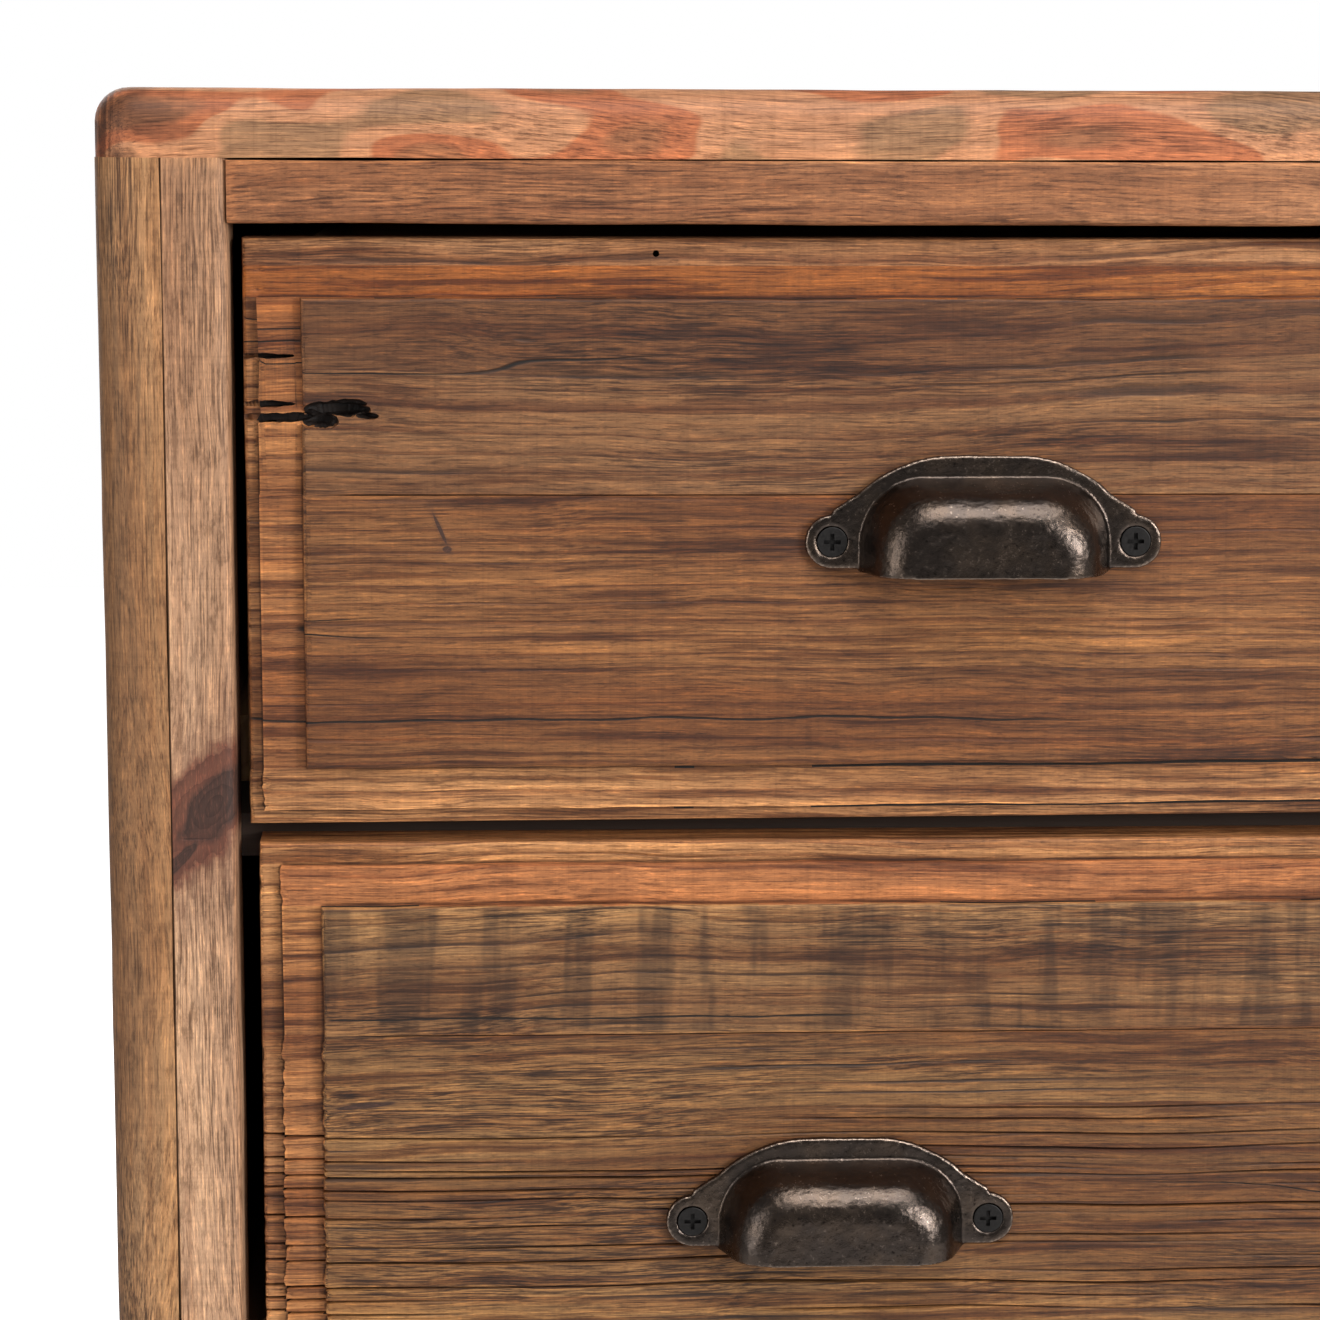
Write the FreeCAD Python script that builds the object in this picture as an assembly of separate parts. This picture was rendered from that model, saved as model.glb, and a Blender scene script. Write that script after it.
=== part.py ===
import FreeCAD, Part
import math
import os
from FreeCAD import Vector

# A tall chest of drawers in reclaimed pine: two short drawers over four long ones, cast cup pulls.
# Millimetres. +Z is up, the front faces -Y, and the origin is on the floor below the centre of the
# chest's bounding box, pulls included.

# Case
case_width = 812.8
case_depth = 420.0
side_thickness = 16.4
stile_width = 16.3
frame_depth = 20.0            # front to back of the stiles and the face rails
top_thickness = 17.0
top_corner_radius = 11.0      # the top's corners, seen from above
top_edge_radius = 8.5         # the top's upper edge
side_edge_radius = 9.0        # the outer front edge of each side
back_edge_radius = 3.0        # the outer back edge of each side
inner_arris_radius = 2.2      # the stiles' edges beside the drawers
rail_arris_radius = 1.5

# Face rails
top_rail_height = 15.4
bottom_rail_height = 36.0
leg_clearance = 58.0          # floor to the bottom face rail
joint_gap = 0.5               # the shadow line round a face rail
tenon_length = 9.0
tenon_thickness = 8.0
tenon_shoulder = 3.0

# Feet, cut out of the bottom of each side
foot_length = 72.0
foot_cutout_height = 44.0
foot_cutout_radius = 22.0

# Rails, runners and the partition behind the drawer fronts
drawer_rail_thickness = 11.0
drawer_rail_depth = 45.0
drawer_rail_housing = 4.0
partition_thickness = 12.0
runner_seat_width = 16.0      # how far a runner reaches in under a drawer side
guide_height = 18.0
guide_clearance = 1.2
slide_clearance = 0.3         # under a drawer, and in front of the rails that stop it
centre_tongue = 8.0
centre_tongue_thickness = 5.0

# Back
back_board_thickness = 8.0
back_board_count = 7
back_tongue_thickness = 2.6
back_tongue_length = 5.0
back_board_gap = 1.0
back_rail_thickness = 18.0
back_rail_height = 42.0
back_rebate_lap = 7.0         # how far the back boards lie into each side

# Drawer rows
short_front_height = 147.0
long_front_height = 193.5
long_rows = 4
top_gap = 3.6
row_gap = 5.0
bottom_gap = 4.0
short_side_gap = 3.2          # stile to a short drawer's front
long_side_gap = 5.4           # stile to a long drawer's front
centre_gap = 4.0              # between the two short drawer fronts

# Stepped drawer fronts
lip_drop = 4.9                # how far the outer lip lies behind the field
band_drop = 2.6               # how far the middle band lies behind the field
short_lip_width = 3.8
short_field_inset = 14.6
short_rebate_drop = 0.6       # the shallow rebate along a short front's top edge
long_lip_width = 5.5
long_field_inset = 15.7
field_arris_radius = 0.9
lip_arris_radius = 1.0

# Drawer boxes
drawer_side_thickness = 12.0
drawer_back_thickness = 12.0
drawer_back_clearance = 22.0  # behind a shut drawer
drawer_side_clearance = 3.0   # above the sides
front_tail_depth = 10.5
short_tail_count = 3
long_tail_count = 4
tail_share = 0.62             # of the tail pitch, at the tail's wide end
tail_slope = 0.17
bottom_thickness = 6.0
bottom_height = 9.0           # under the drawer bottom, from the lower edge of the sides
bottom_groove_depth = 5.0
groove_play = 0.5

# Cup pulls and their screws
pull_hole_spacing = 76.2
pull_end_distance = 148.0     # long drawers: end of the front to the middle of a pull
pull_drop = 1.4               # below the middle of the front
pull_ear_radius = 6.75
pull_ear_slope = 32.0         # degrees, the flange's edge as it leaves an ear
pull_shoulder_slope = 47.0    # degrees, the flange's edge up to its flat top
pull_shoulder_x = 31.6        # where the one slope turns into the other
pull_hollow_radius = 20.0
pull_corner_radius = 14.0
pull_top = 21.5               # above the screws
pull_flange_thickness = 2.4
pull_flange_bevel = 1.4
flange_points = 60            # along its outline, which is made of chords
pull_projection = 17.0
pull_wall = 2.2
cup_bottom = 7.7              # below the screws
cup_half_width = 31.6         # where it leaves the flange
cup_top = 16.3
cup_draft = 5.6               # how much narrower it is at its face, on each side and above
cup_corner_radius = 15.0
cup_corner_chords = 5
cup_shoulder_bevel = 4.4      # outside, where the cup's top and ends meet its face
cup_inner_bevel = 3.4         # inside, where the cup's top and ends meet its face
screw_head_radius = 3.9
screw_head_height = 2.4
screw_shank_radius = 1.6
screw_length = 16.0
screw_sides = 12
screw_slot_length = 4.4
screw_slot_width = 1.1
screw_slot_depth = 1.4
screw_hole_clearance = 0.1
countersink_clearance = 0.25

# Places that follow from the sizes above
front_y = (pull_projection - case_depth) / 2.0
back_y = front_y + case_depth
rail_front_y = front_y + frame_depth
rail_back_y = rail_front_y + drawer_rail_depth
back_boards_y = back_y - back_board_thickness
back_rail_y = back_boards_y - back_rail_thickness
side_inner_x = case_width / 2.0 - side_thickness
stile_inner_x = side_inner_x - stile_width
front_back_y = rail_front_y - slide_clearance

bottom_rail_top = leg_clearance + bottom_rail_height
long_stack = long_rows * long_front_height + long_rows * row_gap
short_row_z = bottom_rail_top + bottom_gap + long_stack
top_rail_bottom = short_row_z + short_front_height + top_gap
top_underside = top_rail_bottom + top_rail_height + joint_gap
case_height = top_underside + top_thickness

long_front_width = 2.0 * (stile_inner_x - long_side_gap)
partition_overlap = (partition_thickness - centre_gap) / 2.0


def box(x0, x1, y0, y1, z0, z1):
    """A block between two corners, given in any order along X."""
    low_x = min(x0, x1)
    return Part.makeBox(abs(x1 - x0), y1 - y0, z1 - z0, Vector(low_x, y0, z0))


def prism_along_x(points, x0, x1):
    """A polygon of (y, z) points, extruded from x0 to x1."""
    corners = [Vector(x0, y, z) for y, z in points]
    face = Part.Face(Part.makePolygon(corners + corners[:1]))
    return face.extrude(Vector(x1 - x0, 0, 0))


def prism_along_y(points, y0, y1):
    """A polygon of (x, z) points, extruded from y0 to y1."""
    corners = [Vector(x, y0, z) for x, z in points]
    face = Part.Face(Part.makePolygon(corners + corners[:1]))
    return face.extrude(Vector(0, y1 - y0, 0))


def edges_where(shape, test):
    """The shape's edges whose two ends and middle all pass a test on their position."""
    found = []
    for edge in shape.Edges:
        middle = edge.valueAt((edge.FirstParameter + edge.LastParameter) / 2.0)
        points = [vertex.Point for vertex in edge.Vertexes] + [middle]
        if all(test(point) for point in points):
            found.append(edge)
    return found


def near(a, b):
    return abs(a - b) < 0.01


def mirrored(shape):
    return shape.mirror(Vector(0, 0, 0), Vector(1, 0, 0))


def save(name, shapes):
    """Writes one node. Its pieces stay separate solids."""
    solids = []
    for shape in shapes:
        solids += shape.Solids
    whole = solids[0] if len(solids) == 1 else Part.makeCompound(solids)
    whole.exportStep("parts/" + name + ".step")


def row_floor(row):
    """The lower edge of a row's drawer fronts. Row 0 holds the short drawers, row 1 is below it."""
    if row == 0:
        return short_row_z
    return short_row_z - row * (long_front_height + row_gap)


def rail_top(row):
    """The level that a row's drawers slide on."""
    return row_floor(row) - slide_clearance


# Case pieces


def make_top_panel():
    panel = box(-case_width / 2.0, case_width / 2.0, front_y, back_y, top_underside, case_height)
    corners = edges_where(panel, lambda p: near(abs(p.x), case_width / 2.0) and near(p.y, front_y))
    panel = panel.makeFillet(top_corner_radius, corners)
    back_corners = edges_where(panel, lambda p: near(abs(p.x), case_width / 2.0) and near(p.y, back_y))
    panel = panel.makeFillet(back_edge_radius, back_corners)
    rim = edges_where(panel, lambda p: near(p.z, case_height))
    rounded = [edge for edge in rim if edge.BoundBox.YMin < back_y - back_edge_radius - 1.0]
    return panel.makeFillet(top_edge_radius, rounded)


def side_cutout():
    """The gap between the two feet of a side, as a cutter in the YZ plane."""
    y0 = front_y + foot_length
    y1 = back_y - foot_length
    cutter = box(side_inner_x - 1.0, case_width / 2.0 + 1.0, y0, y1, -1.0, foot_cutout_height)
    upper = edges_where(cutter, lambda p: near(p.z, foot_cutout_height))
    corners = [edge for edge in upper if near(edge.BoundBox.YLength, 0.0)]
    return cutter.makeFillet(foot_cutout_radius, corners)


def make_side_panel_right():
    outer_x = case_width / 2.0
    panel = box(side_inner_x, outer_x, front_y, back_y, 0.0, top_underside)
    front_edge = edges_where(panel, lambda p: near(p.x, outer_x) and near(p.y, front_y))
    panel = panel.makeFillet(side_edge_radius, front_edge)
    back_edge = edges_where(panel, lambda p: near(p.x, outer_x) and near(p.y, back_y))
    panel = panel.makeFillet(back_edge_radius, back_edge)
    panel = panel.cut(side_cutout())
    for row in range(long_rows + 1):
        panel = panel.cut(make_drawer_rail(row))
    rebate = box(side_inner_x - 1.0, side_inner_x + back_rebate_lap, back_boards_y, back_y + 1.0,
                 leg_clearance, top_underside + 1.0)
    return panel.cut(rebate)


def make_face_rail(z0, z1):
    """A rail between the stiles, flush with them, with a tenon at each end."""
    half = stile_inner_x - joint_gap
    rail = box(-half, half, front_y, rail_front_y, z0, z1)
    arrises = edges_where(rail, lambda p: near(p.y, front_y) and (near(p.z, z0) or near(p.z, z1)))
    rail = rail.makeFillet(rail_arris_radius, arrises)
    tenon_y = front_y + (frame_depth - tenon_thickness) / 2.0
    reach = stile_inner_x + tenon_length
    tenon = box(-reach, reach, tenon_y, tenon_y + tenon_thickness, z0 + tenon_shoulder, z1 - tenon_shoulder)
    return rail.fuse(tenon).removeSplitter()


def make_top_rail():
    return make_face_rail(top_rail_bottom, top_rail_bottom + top_rail_height)


def make_bottom_rail():
    return make_face_rail(leg_clearance, bottom_rail_top)


def make_stile_right():
    stile = box(stile_inner_x, side_inner_x, front_y, rail_front_y, 0.0, top_underside)
    arris = edges_where(stile, lambda p: near(p.x, stile_inner_x) and near(p.y, front_y))
    stile = stile.makeFillet(inner_arris_radius, arris)
    return stile.cut(make_top_rail()).cut(make_bottom_rail())


def make_drawer_rail(row):
    """The rail under a row of drawers, behind their fronts, housed into both sides."""
    half = side_inner_x + drawer_rail_housing
    level = rail_top(row)
    rail = box(-half, half, rail_front_y, rail_back_y, level - drawer_rail_thickness, level)
    if row == 0:
        return rail.cut(make_centre_runner())
    return rail


def make_centre_runner():
    """The flat runner under the inner sides of the short drawers, tongued into its two rails."""
    half = partition_thickness / 2.0 + guide_clearance + runner_seat_width
    level = rail_top(0)
    low = level - drawer_rail_thickness
    runner = box(-half, half, rail_back_y, back_rail_y, low, level)
    tongue_z = low + (drawer_rail_thickness - centre_tongue_thickness) / 2.0
    tongue = box(-half, half, rail_back_y - centre_tongue, back_rail_y + centre_tongue, tongue_z,
                 tongue_z + centre_tongue_thickness)
    return runner.fuse(tongue).removeSplitter()


def make_centre_partition():
    half = partition_thickness / 2.0
    return box(-half, half, rail_front_y, back_rail_y, rail_top(0), top_underside)


def outer_end(row):
    """The outer end of a row's drawer fronts, right of the middle."""
    return stile_inner_x - (short_side_gap if row == 0 else long_side_gap)


def make_runner(row):
    """The runner that a row's drawer sides slide on, right of the middle."""
    level = rail_top(row)
    return box(outer_end(row) - runner_seat_width, side_inner_x, rail_back_y, back_rail_y,
               level - drawer_rail_thickness, level)


def make_guide(row):
    """The strip on a runner that keeps the drawer straight, right of the middle."""
    level = rail_top(row)
    return box(outer_end(row) + guide_clearance, side_inner_x, rail_back_y, back_rail_y,
               level, level + guide_height)


def make_back_rails():
    """Three rails across the back: under the top, behind the short drawers' floor, and at the bottom."""
    levels = [top_underside, rail_top(0), rail_top(long_rows)]
    rails = []
    for level in levels:
        rails.append(box(-side_inner_x, side_inner_x, back_rail_y, back_boards_y,
                         level - back_rail_height, level))
    rails[1] = rails[1].cut(make_centre_runner())
    return rails


def make_back_boards():
    """Upright tongue-and-groove boards in the rebates of the two sides."""
    half = side_inner_x + back_rebate_lap
    pitch = 2.0 * half / back_board_count
    middle_y = back_boards_y + back_board_thickness / 2.0
    boards = []
    for index in range(back_board_count):
        x0 = -half + index * pitch
        x1 = x0 + pitch
        if index < back_board_count - 1:
            x1 -= back_board_gap
        board = box(x0, x1, back_boards_y, back_y, leg_clearance, top_underside)
        tongue_y0 = middle_y - back_tongue_thickness / 2.0
        tongue_y1 = middle_y + back_tongue_thickness / 2.0
        if index < back_board_count - 1:
            tongue = box(x1, x1 + back_tongue_length, tongue_y0, tongue_y1, leg_clearance, top_underside)
            board = board.fuse(tongue).removeSplitter()
        if index > 0:
            groove = box(x0 - 1.0, x0 + back_tongue_length, tongue_y0, tongue_y1,
                         leg_clearance - 1.0, top_underside + 1.0)
            board = board.cut(groove)
        boards.append(board)
    return boards


# Drawers


class Drawer:
    """The places of one drawer: its front, and the box behind it."""

    def __init__(self, name, row, x0, x1, inset_left, inset_right):
        short = row == 0
        self.name = name
        self.x0 = x0
        self.x1 = x1
        self.z0 = row_floor(row)
        self.z1 = self.z0 + (short_front_height if short else long_front_height)
        self.short = short
        self.box_x0 = x0 + inset_left
        self.box_x1 = x1 - inset_right
        ceiling = top_rail_bottom if short else rail_top(row - 1) - drawer_rail_thickness
        self.side_z1 = min(ceiling, self.z1) - drawer_side_clearance
        self.lip = short_lip_width if short else long_lip_width
        self.inset = short_field_inset if short else long_field_inset
        self.tails = short_tail_count if short else long_tail_count
        self.bottom_z = self.z0 + bottom_height
        self.box_back_y = back_rail_y - drawer_back_clearance
        middle = (x0 + x1) / 2.0
        self.pull_x = [middle] if short else [x0 + pull_end_distance, x1 - pull_end_distance]
        self.pull_z = (self.z0 + self.z1) / 2.0 - pull_drop


def tail_outlines(z0, z1, count, root_y, tip_y):
    """The tails of a dovetail joint, as polygons in the YZ plane that widen from root to tip."""
    pitch = (z1 - z0) / count
    flare = abs(tip_y - root_y) * tail_slope
    outlines = []
    for index in range(count):
        centre = z0 + (index + 0.5) * pitch
        wide = tail_share * pitch / 2.0
        narrow = wide - flare
        outlines.append([(root_y, centre - narrow), (tip_y, centre - wide),
                         (tip_y, centre + wide), (root_y, centre + narrow)])
    return outlines


def front_tails(drawer):
    tip_y = front_back_y - front_tail_depth
    return tail_outlines(drawer.z0, drawer.side_z1, drawer.tails, front_back_y, tip_y)


def back_tails(drawer):
    root_y = drawer.box_back_y - drawer_back_thickness
    low_z = drawer.bottom_z + bottom_thickness
    return tail_outlines(low_z, drawer.side_z1, drawer.tails, root_y, drawer.box_back_y)


def make_bottom(drawer, play=0.0):
    """The drawer bottom, let into the front and sides and running out under the back."""
    reach = bottom_groove_depth + play
    x0 = drawer.box_x0 + drawer_side_thickness - reach
    x1 = drawer.box_x1 - drawer_side_thickness + reach
    return box(x0, x1, front_back_y - reach, drawer.box_back_y + play, drawer.bottom_z,
               drawer.bottom_z + bottom_thickness)


def make_side(drawer, left):
    """A drawer side: half-blind tails at the front and through tails at the back."""
    x0 = drawer.box_x0 if left else drawer.box_x1 - drawer_side_thickness
    x1 = x0 + drawer_side_thickness
    back_shoulder_y = drawer.box_back_y - drawer_back_thickness
    under_back_z = drawer.bottom_z + bottom_thickness
    side = box(x0, x1, front_back_y, back_shoulder_y, drawer.z0, drawer.side_z1)
    heel = box(x0, x1, back_shoulder_y, drawer.box_back_y, drawer.z0, under_back_z)
    tails = [prism_along_x(outline, x0, x1) for outline in front_tails(drawer) + back_tails(drawer)]
    side = side.multiFuse([heel] + tails).removeSplitter()
    return side.cut(make_bottom(drawer, groove_play))


def make_box_back(drawer):
    """The back of a drawer box, above its bottom, with pins between the sides' tails."""
    y0 = drawer.box_back_y - drawer_back_thickness
    back = box(drawer.box_x0, drawer.box_x1, y0, drawer.box_back_y, drawer.bottom_z + bottom_thickness,
               drawer.side_z1)
    sockets = []
    for outline in back_tails(drawer):
        sockets.append(prism_along_x(outline, drawer.box_x0, drawer.box_x0 + drawer_side_thickness))
        sockets.append(prism_along_x(outline, drawer.box_x1 - drawer_side_thickness, drawer.box_x1))
    return back.cut(Part.makeCompound(sockets))


def stepped_block(drawer):
    """A front in three levels: outer lip, middle band and raised field, with eased arrises.

    Along the top of a short front the band is left out, and the lip has a shallow rebate.
    """
    lip_y = front_y + lip_drop
    band_y = front_y + band_drop
    x0, x1, z0, z1 = drawer.x0, drawer.x1, drawer.z0, drawer.z1
    lip, inset = drawer.lip, drawer.inset
    band_top = z1 - inset if drawer.short else z1 - lip
    slab = box(x0, x1, lip_y, front_back_y, z0, z1)
    slab = slab.makeFillet(lip_arris_radius, edges_where(slab, lambda p: near(p.y, lip_y)))
    if drawer.short:
        slab = slab.cut(box(x0 - 1.0, x1 + 1.0, lip_y - 1.0, lip_y + short_rebate_drop, z1 - lip, z1 + 1.0))
    band = box(x0 + lip, x1 - lip, band_y, lip_y, z0 + lip, band_top)
    field = box(x0 + inset, x1 - inset, front_y, band_y, z0 + inset, z1 - inset)
    block = slab.multiFuse([band, field]).removeSplitter()
    arris = edges_where(block, lambda p: near(p.y, front_y))
    return block.makeFillet(field_arris_radius, arris)


def make_front(drawer):
    """The stepped front, with sockets for the sides, a groove for the bottom and holes for the screws."""
    front = stepped_block(drawer)
    socket_y = front_back_y - front_tail_depth
    cutters = [make_bottom(drawer, groove_play)]
    for outline in front_tails(drawer):
        cutters.append(prism_along_x(outline, drawer.box_x0, drawer.box_x0 + drawer_side_thickness))
        cutters.append(prism_along_x(outline, drawer.box_x1 - drawer_side_thickness, drawer.box_x1))
    for end_x, side_x in ((drawer.x0, drawer.box_x0), (drawer.x1, drawer.box_x1)):
        if not near(end_x, side_x):
            cutters.append(box(end_x, side_x, socket_y, front_back_y, drawer.z0, drawer.z1))
    for x, z in screw_places(drawer):
        depth = screw_length - pull_flange_thickness + screw_hole_clearance
        radius = screw_shank_radius + screw_hole_clearance
        cutters.append(solid_through([screw_ring(x, y, z, radius) for y in (front_y, front_y + depth)]))
    for cutter in cutters:
        front = front.cut(cutter)
    return front


# Pulls and screws


def screw_places(drawer):
    half = pull_hole_spacing / 2.0
    return [(x + side * half, drawer.pull_z) for x in drawer.pull_x for side in (-1, 1)]


def solid_through(rings):
    """A solid with flat faces through sections that have the same number of points."""
    ends = [rings[0], rings[-1]]
    outlines = [ring + ring[:1] for ring in ends]
    for ring, following in zip(rings, rings[1:]):
        for i in range(len(ring)):
            outlines.append([ring[i - 1], ring[i], following[i], following[i - 1], ring[i - 1]])
    faces = [Part.Face(Part.makePolygon(outline)) for outline in outlines]
    return Part.makeSolid(Part.makeShell(faces)).removeSplitter()


def cup_section(y, inset, bottom):
    """A section through the cup, square to Y: straight below, with a quarter round at each upper corner."""
    half_width = cup_half_width - inset
    top = cup_top - inset
    radius = cup_corner_radius - inset
    angles = [0.5 * math.pi * chord / cup_corner_chords for chord in range(cup_corner_chords + 1)]
    centre_x = half_width - radius
    centre_z = top - radius
    right = [(centre_x + radius * math.cos(t), centre_z + radius * math.sin(t)) for t in angles]
    left = [(-x, z) for x, z in reversed(right)]
    outline = [(half_width, -bottom)] + right + left + [(-half_width, -bottom)]
    return [Vector(x, y, z) for x, z in outline]


def cup_block(wall, bottom):
    """The cup's tapered block, still square at its face. With a wall, it is the hollow inside that wall."""
    slope = cup_draft / (pull_projection - pull_flange_thickness)
    back_y = 1.0 if wall else -pull_flange_thickness
    face_y = wall - pull_projection
    back_inset = wall + slope * (-pull_flange_thickness - back_y)
    face_inset = wall + slope * (-pull_flange_thickness - face_y)
    return solid_through([cup_section(back_y, back_inset, bottom), cup_section(face_y, face_inset, bottom)])


def cup_shoulder(block):
    """The edges where the cup's top and ends meet its face."""
    face_y = block.BoundBox.YMin
    bottom_z = block.BoundBox.ZMin
    rim = edges_where(block, lambda p: near(p.y, face_y))
    return [edge for edge in rim if max(vertex.Point.z for vertex in edge.Vertexes) > bottom_z + 0.01]


def cup_form():
    """The cup's outer form, with its eased shoulder."""
    block = cup_block(0.0, cup_bottom)
    return block.makeChamfer(cup_shoulder_bevel, cup_shoulder(block))


def cup_hollow():
    """The hollow for the fingers, open at the back and below."""
    block = cup_block(pull_wall, cup_bottom + 1.0)
    return block.makeChamfer(cup_inner_bevel, cup_shoulder(block))


def flange_form():
    """The back plate: an ear round each screw, a hollow curve up to the shoulder, and a flat top."""
    ear_x = pull_hole_spacing / 2.0
    ear_slope = math.radians(pull_ear_slope)
    shoulder_slope = math.radians(pull_shoulder_slope)
    tangent_x = ear_x + pull_ear_radius * math.sin(ear_slope)
    tangent_z = pull_ear_radius * math.cos(ear_slope)
    shoulder_z = tangent_z + (tangent_x - pull_shoulder_x) * math.tan(ear_slope)
    corner_x = pull_shoulder_x - (pull_top - shoulder_z) / math.tan(shoulder_slope)
    half = [(corner_x, pull_top), (pull_shoulder_x, shoulder_z), (tangent_x, tangent_z), (ear_x, 0.0),
            (ear_x, -pull_ear_radius)]
    outline = half + [(-x, z) for x, z in reversed(half)]
    plate = prism_along_y(outline, -pull_flange_thickness, 0.0)
    corners = edges_where(plate, lambda p: near(abs(p.x), corner_x) and near(p.z, pull_top))
    corners = [edge for edge in corners if near(edge.Length, pull_flange_thickness)]
    plate = plate.makeFillet(pull_corner_radius, corners)
    hollows = edges_where(plate, lambda p: near(abs(p.x), pull_shoulder_x) and near(p.z, shoulder_z))
    plate = plate.makeFillet(pull_hollow_radius, hollows)
    for side in (-1, 1):
        centre = Vector(side * ear_x, 0, 0)
        ear = Part.makeCylinder(pull_ear_radius, pull_flange_thickness, centre, Vector(0, -1, 0))
        plate = plate.fuse(ear)
    rounded = [face for face in plate.removeSplitter().Faces if near(face.CenterOfMass.y, 0.0)][0]
    points = rounded.OuterWire.discretize(Number=flange_points + 1)
    plate = prism_along_y([(point.x, point.z) for point in points[:-1]], -pull_flange_thickness, 0.0)
    rim = edges_where(plate, lambda p: near(p.y, -pull_flange_thickness))
    return plate.makeChamfer(pull_flange_bevel, rim)


def make_pull_shape():
    """One hollow cup pull, its back on y = 0 and its screws on z = 0."""
    pull = flange_form().fuse(cup_form()).cut(cup_hollow())
    for side in (-1, 1):
        ear_x = side * pull_hole_spacing / 2.0
        pull = pull.cut(screw_form(ear_x, -pull_flange_thickness, 0.0, countersink_clearance))
    return pull.removeSplitter()


def screw_ring(x, y, z, radius):
    """A section of a screw or its hole, square to Y. It has few sides, because screws are many and small."""
    turns = [2.0 * math.pi * side / screw_sides for side in range(screw_sides)]
    return [Vector(x + radius * math.cos(t), y, z + radius * math.sin(t)) for t in turns]


def screw_form(x, y, z, clearance):
    """A countersunk screw driven along +Y, its head flush at y. Holes have a clearance."""
    shank = screw_shank_radius + clearance
    return solid_through([
        screw_ring(x, y, z, screw_head_radius + clearance),
        screw_ring(x, y + screw_head_height, z, shank),
        screw_ring(x, y + screw_length + clearance, z, shank),
    ])


def make_screw(x, z):
    """A pull screw with a cross recess."""
    y0 = front_y - pull_flange_thickness
    half_long = screw_slot_length / 2.0
    half_wide = screw_slot_width / 2.0
    flat = box(x - half_long, x + half_long, y0 - 1.0, y0 + screw_slot_depth, z - half_wide, z + half_wide)
    upright = box(x - half_wide, x + half_wide, y0 - 1.0, y0 + screw_slot_depth, z - half_long, z + half_long)
    return screw_form(x, y0, z, 0.0).cut(flat.fuse(upright))


def make_pulls(drawer, shape):
    pulls = []
    for x in drawer.pull_x:
        pull = shape.copy()
        pull.translate(Vector(x, front_y, drawer.pull_z))
        pulls.append(pull)
    return pulls


def list_drawers():
    inner = partition_overlap + guide_clearance
    outer = short_side_gap
    drawers = [
        Drawer("short_drawer_left", 0, -stile_inner_x + outer, -centre_gap / 2.0, 0.0, inner),
        Drawer("short_drawer_right", 0, centre_gap / 2.0, stile_inner_x - outer, inner, 0.0),
    ]
    for row in range(1, long_rows + 1):
        half = long_front_width / 2.0
        drawers.append(Drawer("long_drawer_%d" % row, row, -half, half, 0.0, 0.0))
    return drawers


def save_case():
    side = make_side_panel_right()
    stile = make_stile_right()
    runners = [make_runner(row) for row in range(long_rows + 1)]
    guides = [make_guide(row) for row in range(long_rows + 1)]
    save("top_panel", [make_top_panel()])
    save("side_panel_right", [side])
    save("side_panel_left", [mirrored(side)])
    save("stile_right", [stile])
    save("stile_left", [mirrored(stile)])
    save("top_rail", [make_top_rail()])
    save("bottom_rail", [make_bottom_rail()])
    for row in range(long_rows + 1):
        save("drawer_rail_%d" % (row + 1), [make_drawer_rail(row)])
    save("centre_partition", [make_centre_partition()])
    save("centre_runner", [make_centre_runner()])
    save("drawer_runners", runners + [mirrored(runner) for runner in runners])
    save("drawer_guides", guides + [mirrored(guide) for guide in guides])
    save("back_boards", make_back_boards())
    save("back_rails", make_back_rails())


def save_drawer(drawer, pull_shape):
    save(drawer.name + "_front", [make_front(drawer)])
    save(drawer.name + "_side_left", [make_side(drawer, True)])
    save(drawer.name + "_side_right", [make_side(drawer, False)])
    save(drawer.name + "_back", [make_box_back(drawer)])
    save(drawer.name + "_bottom", [make_bottom(drawer)])
    save(drawer.name + ("_pull" if drawer.short else "_pulls"), make_pulls(drawer, pull_shape))
    save(drawer.name + "_screws", [make_screw(x, z) for x, z in screw_places(drawer)])


def main():
    os.makedirs("parts", exist_ok=True)
    save_case()
    pull_shape = make_pull_shape()
    for drawer in list_drawers():
        save_drawer(drawer, pull_shape)
    print("chest %.1f wide, %.1f deep, %.1f high" % (case_width, case_depth + pull_projection, case_height))


main()
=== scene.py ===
# %% [markdown]
# # A chest of drawers in reclaimed pine
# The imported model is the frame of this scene. It gives every board, drawer and pull its place and its
# size in metres, with +Z up and the drawer fronts facing -Y. What shows from outside is modelled again
# here, with worn edges and uneven surfaces, and takes the place of the plain solid. The boards inside
# keep their solids and get a finish.

# %% The frame
import bmesh
import bpy
import math
import random
import numpy as np
from mathutils import Matrix, Vector
from mathutils.noise import noise as wavy


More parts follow.
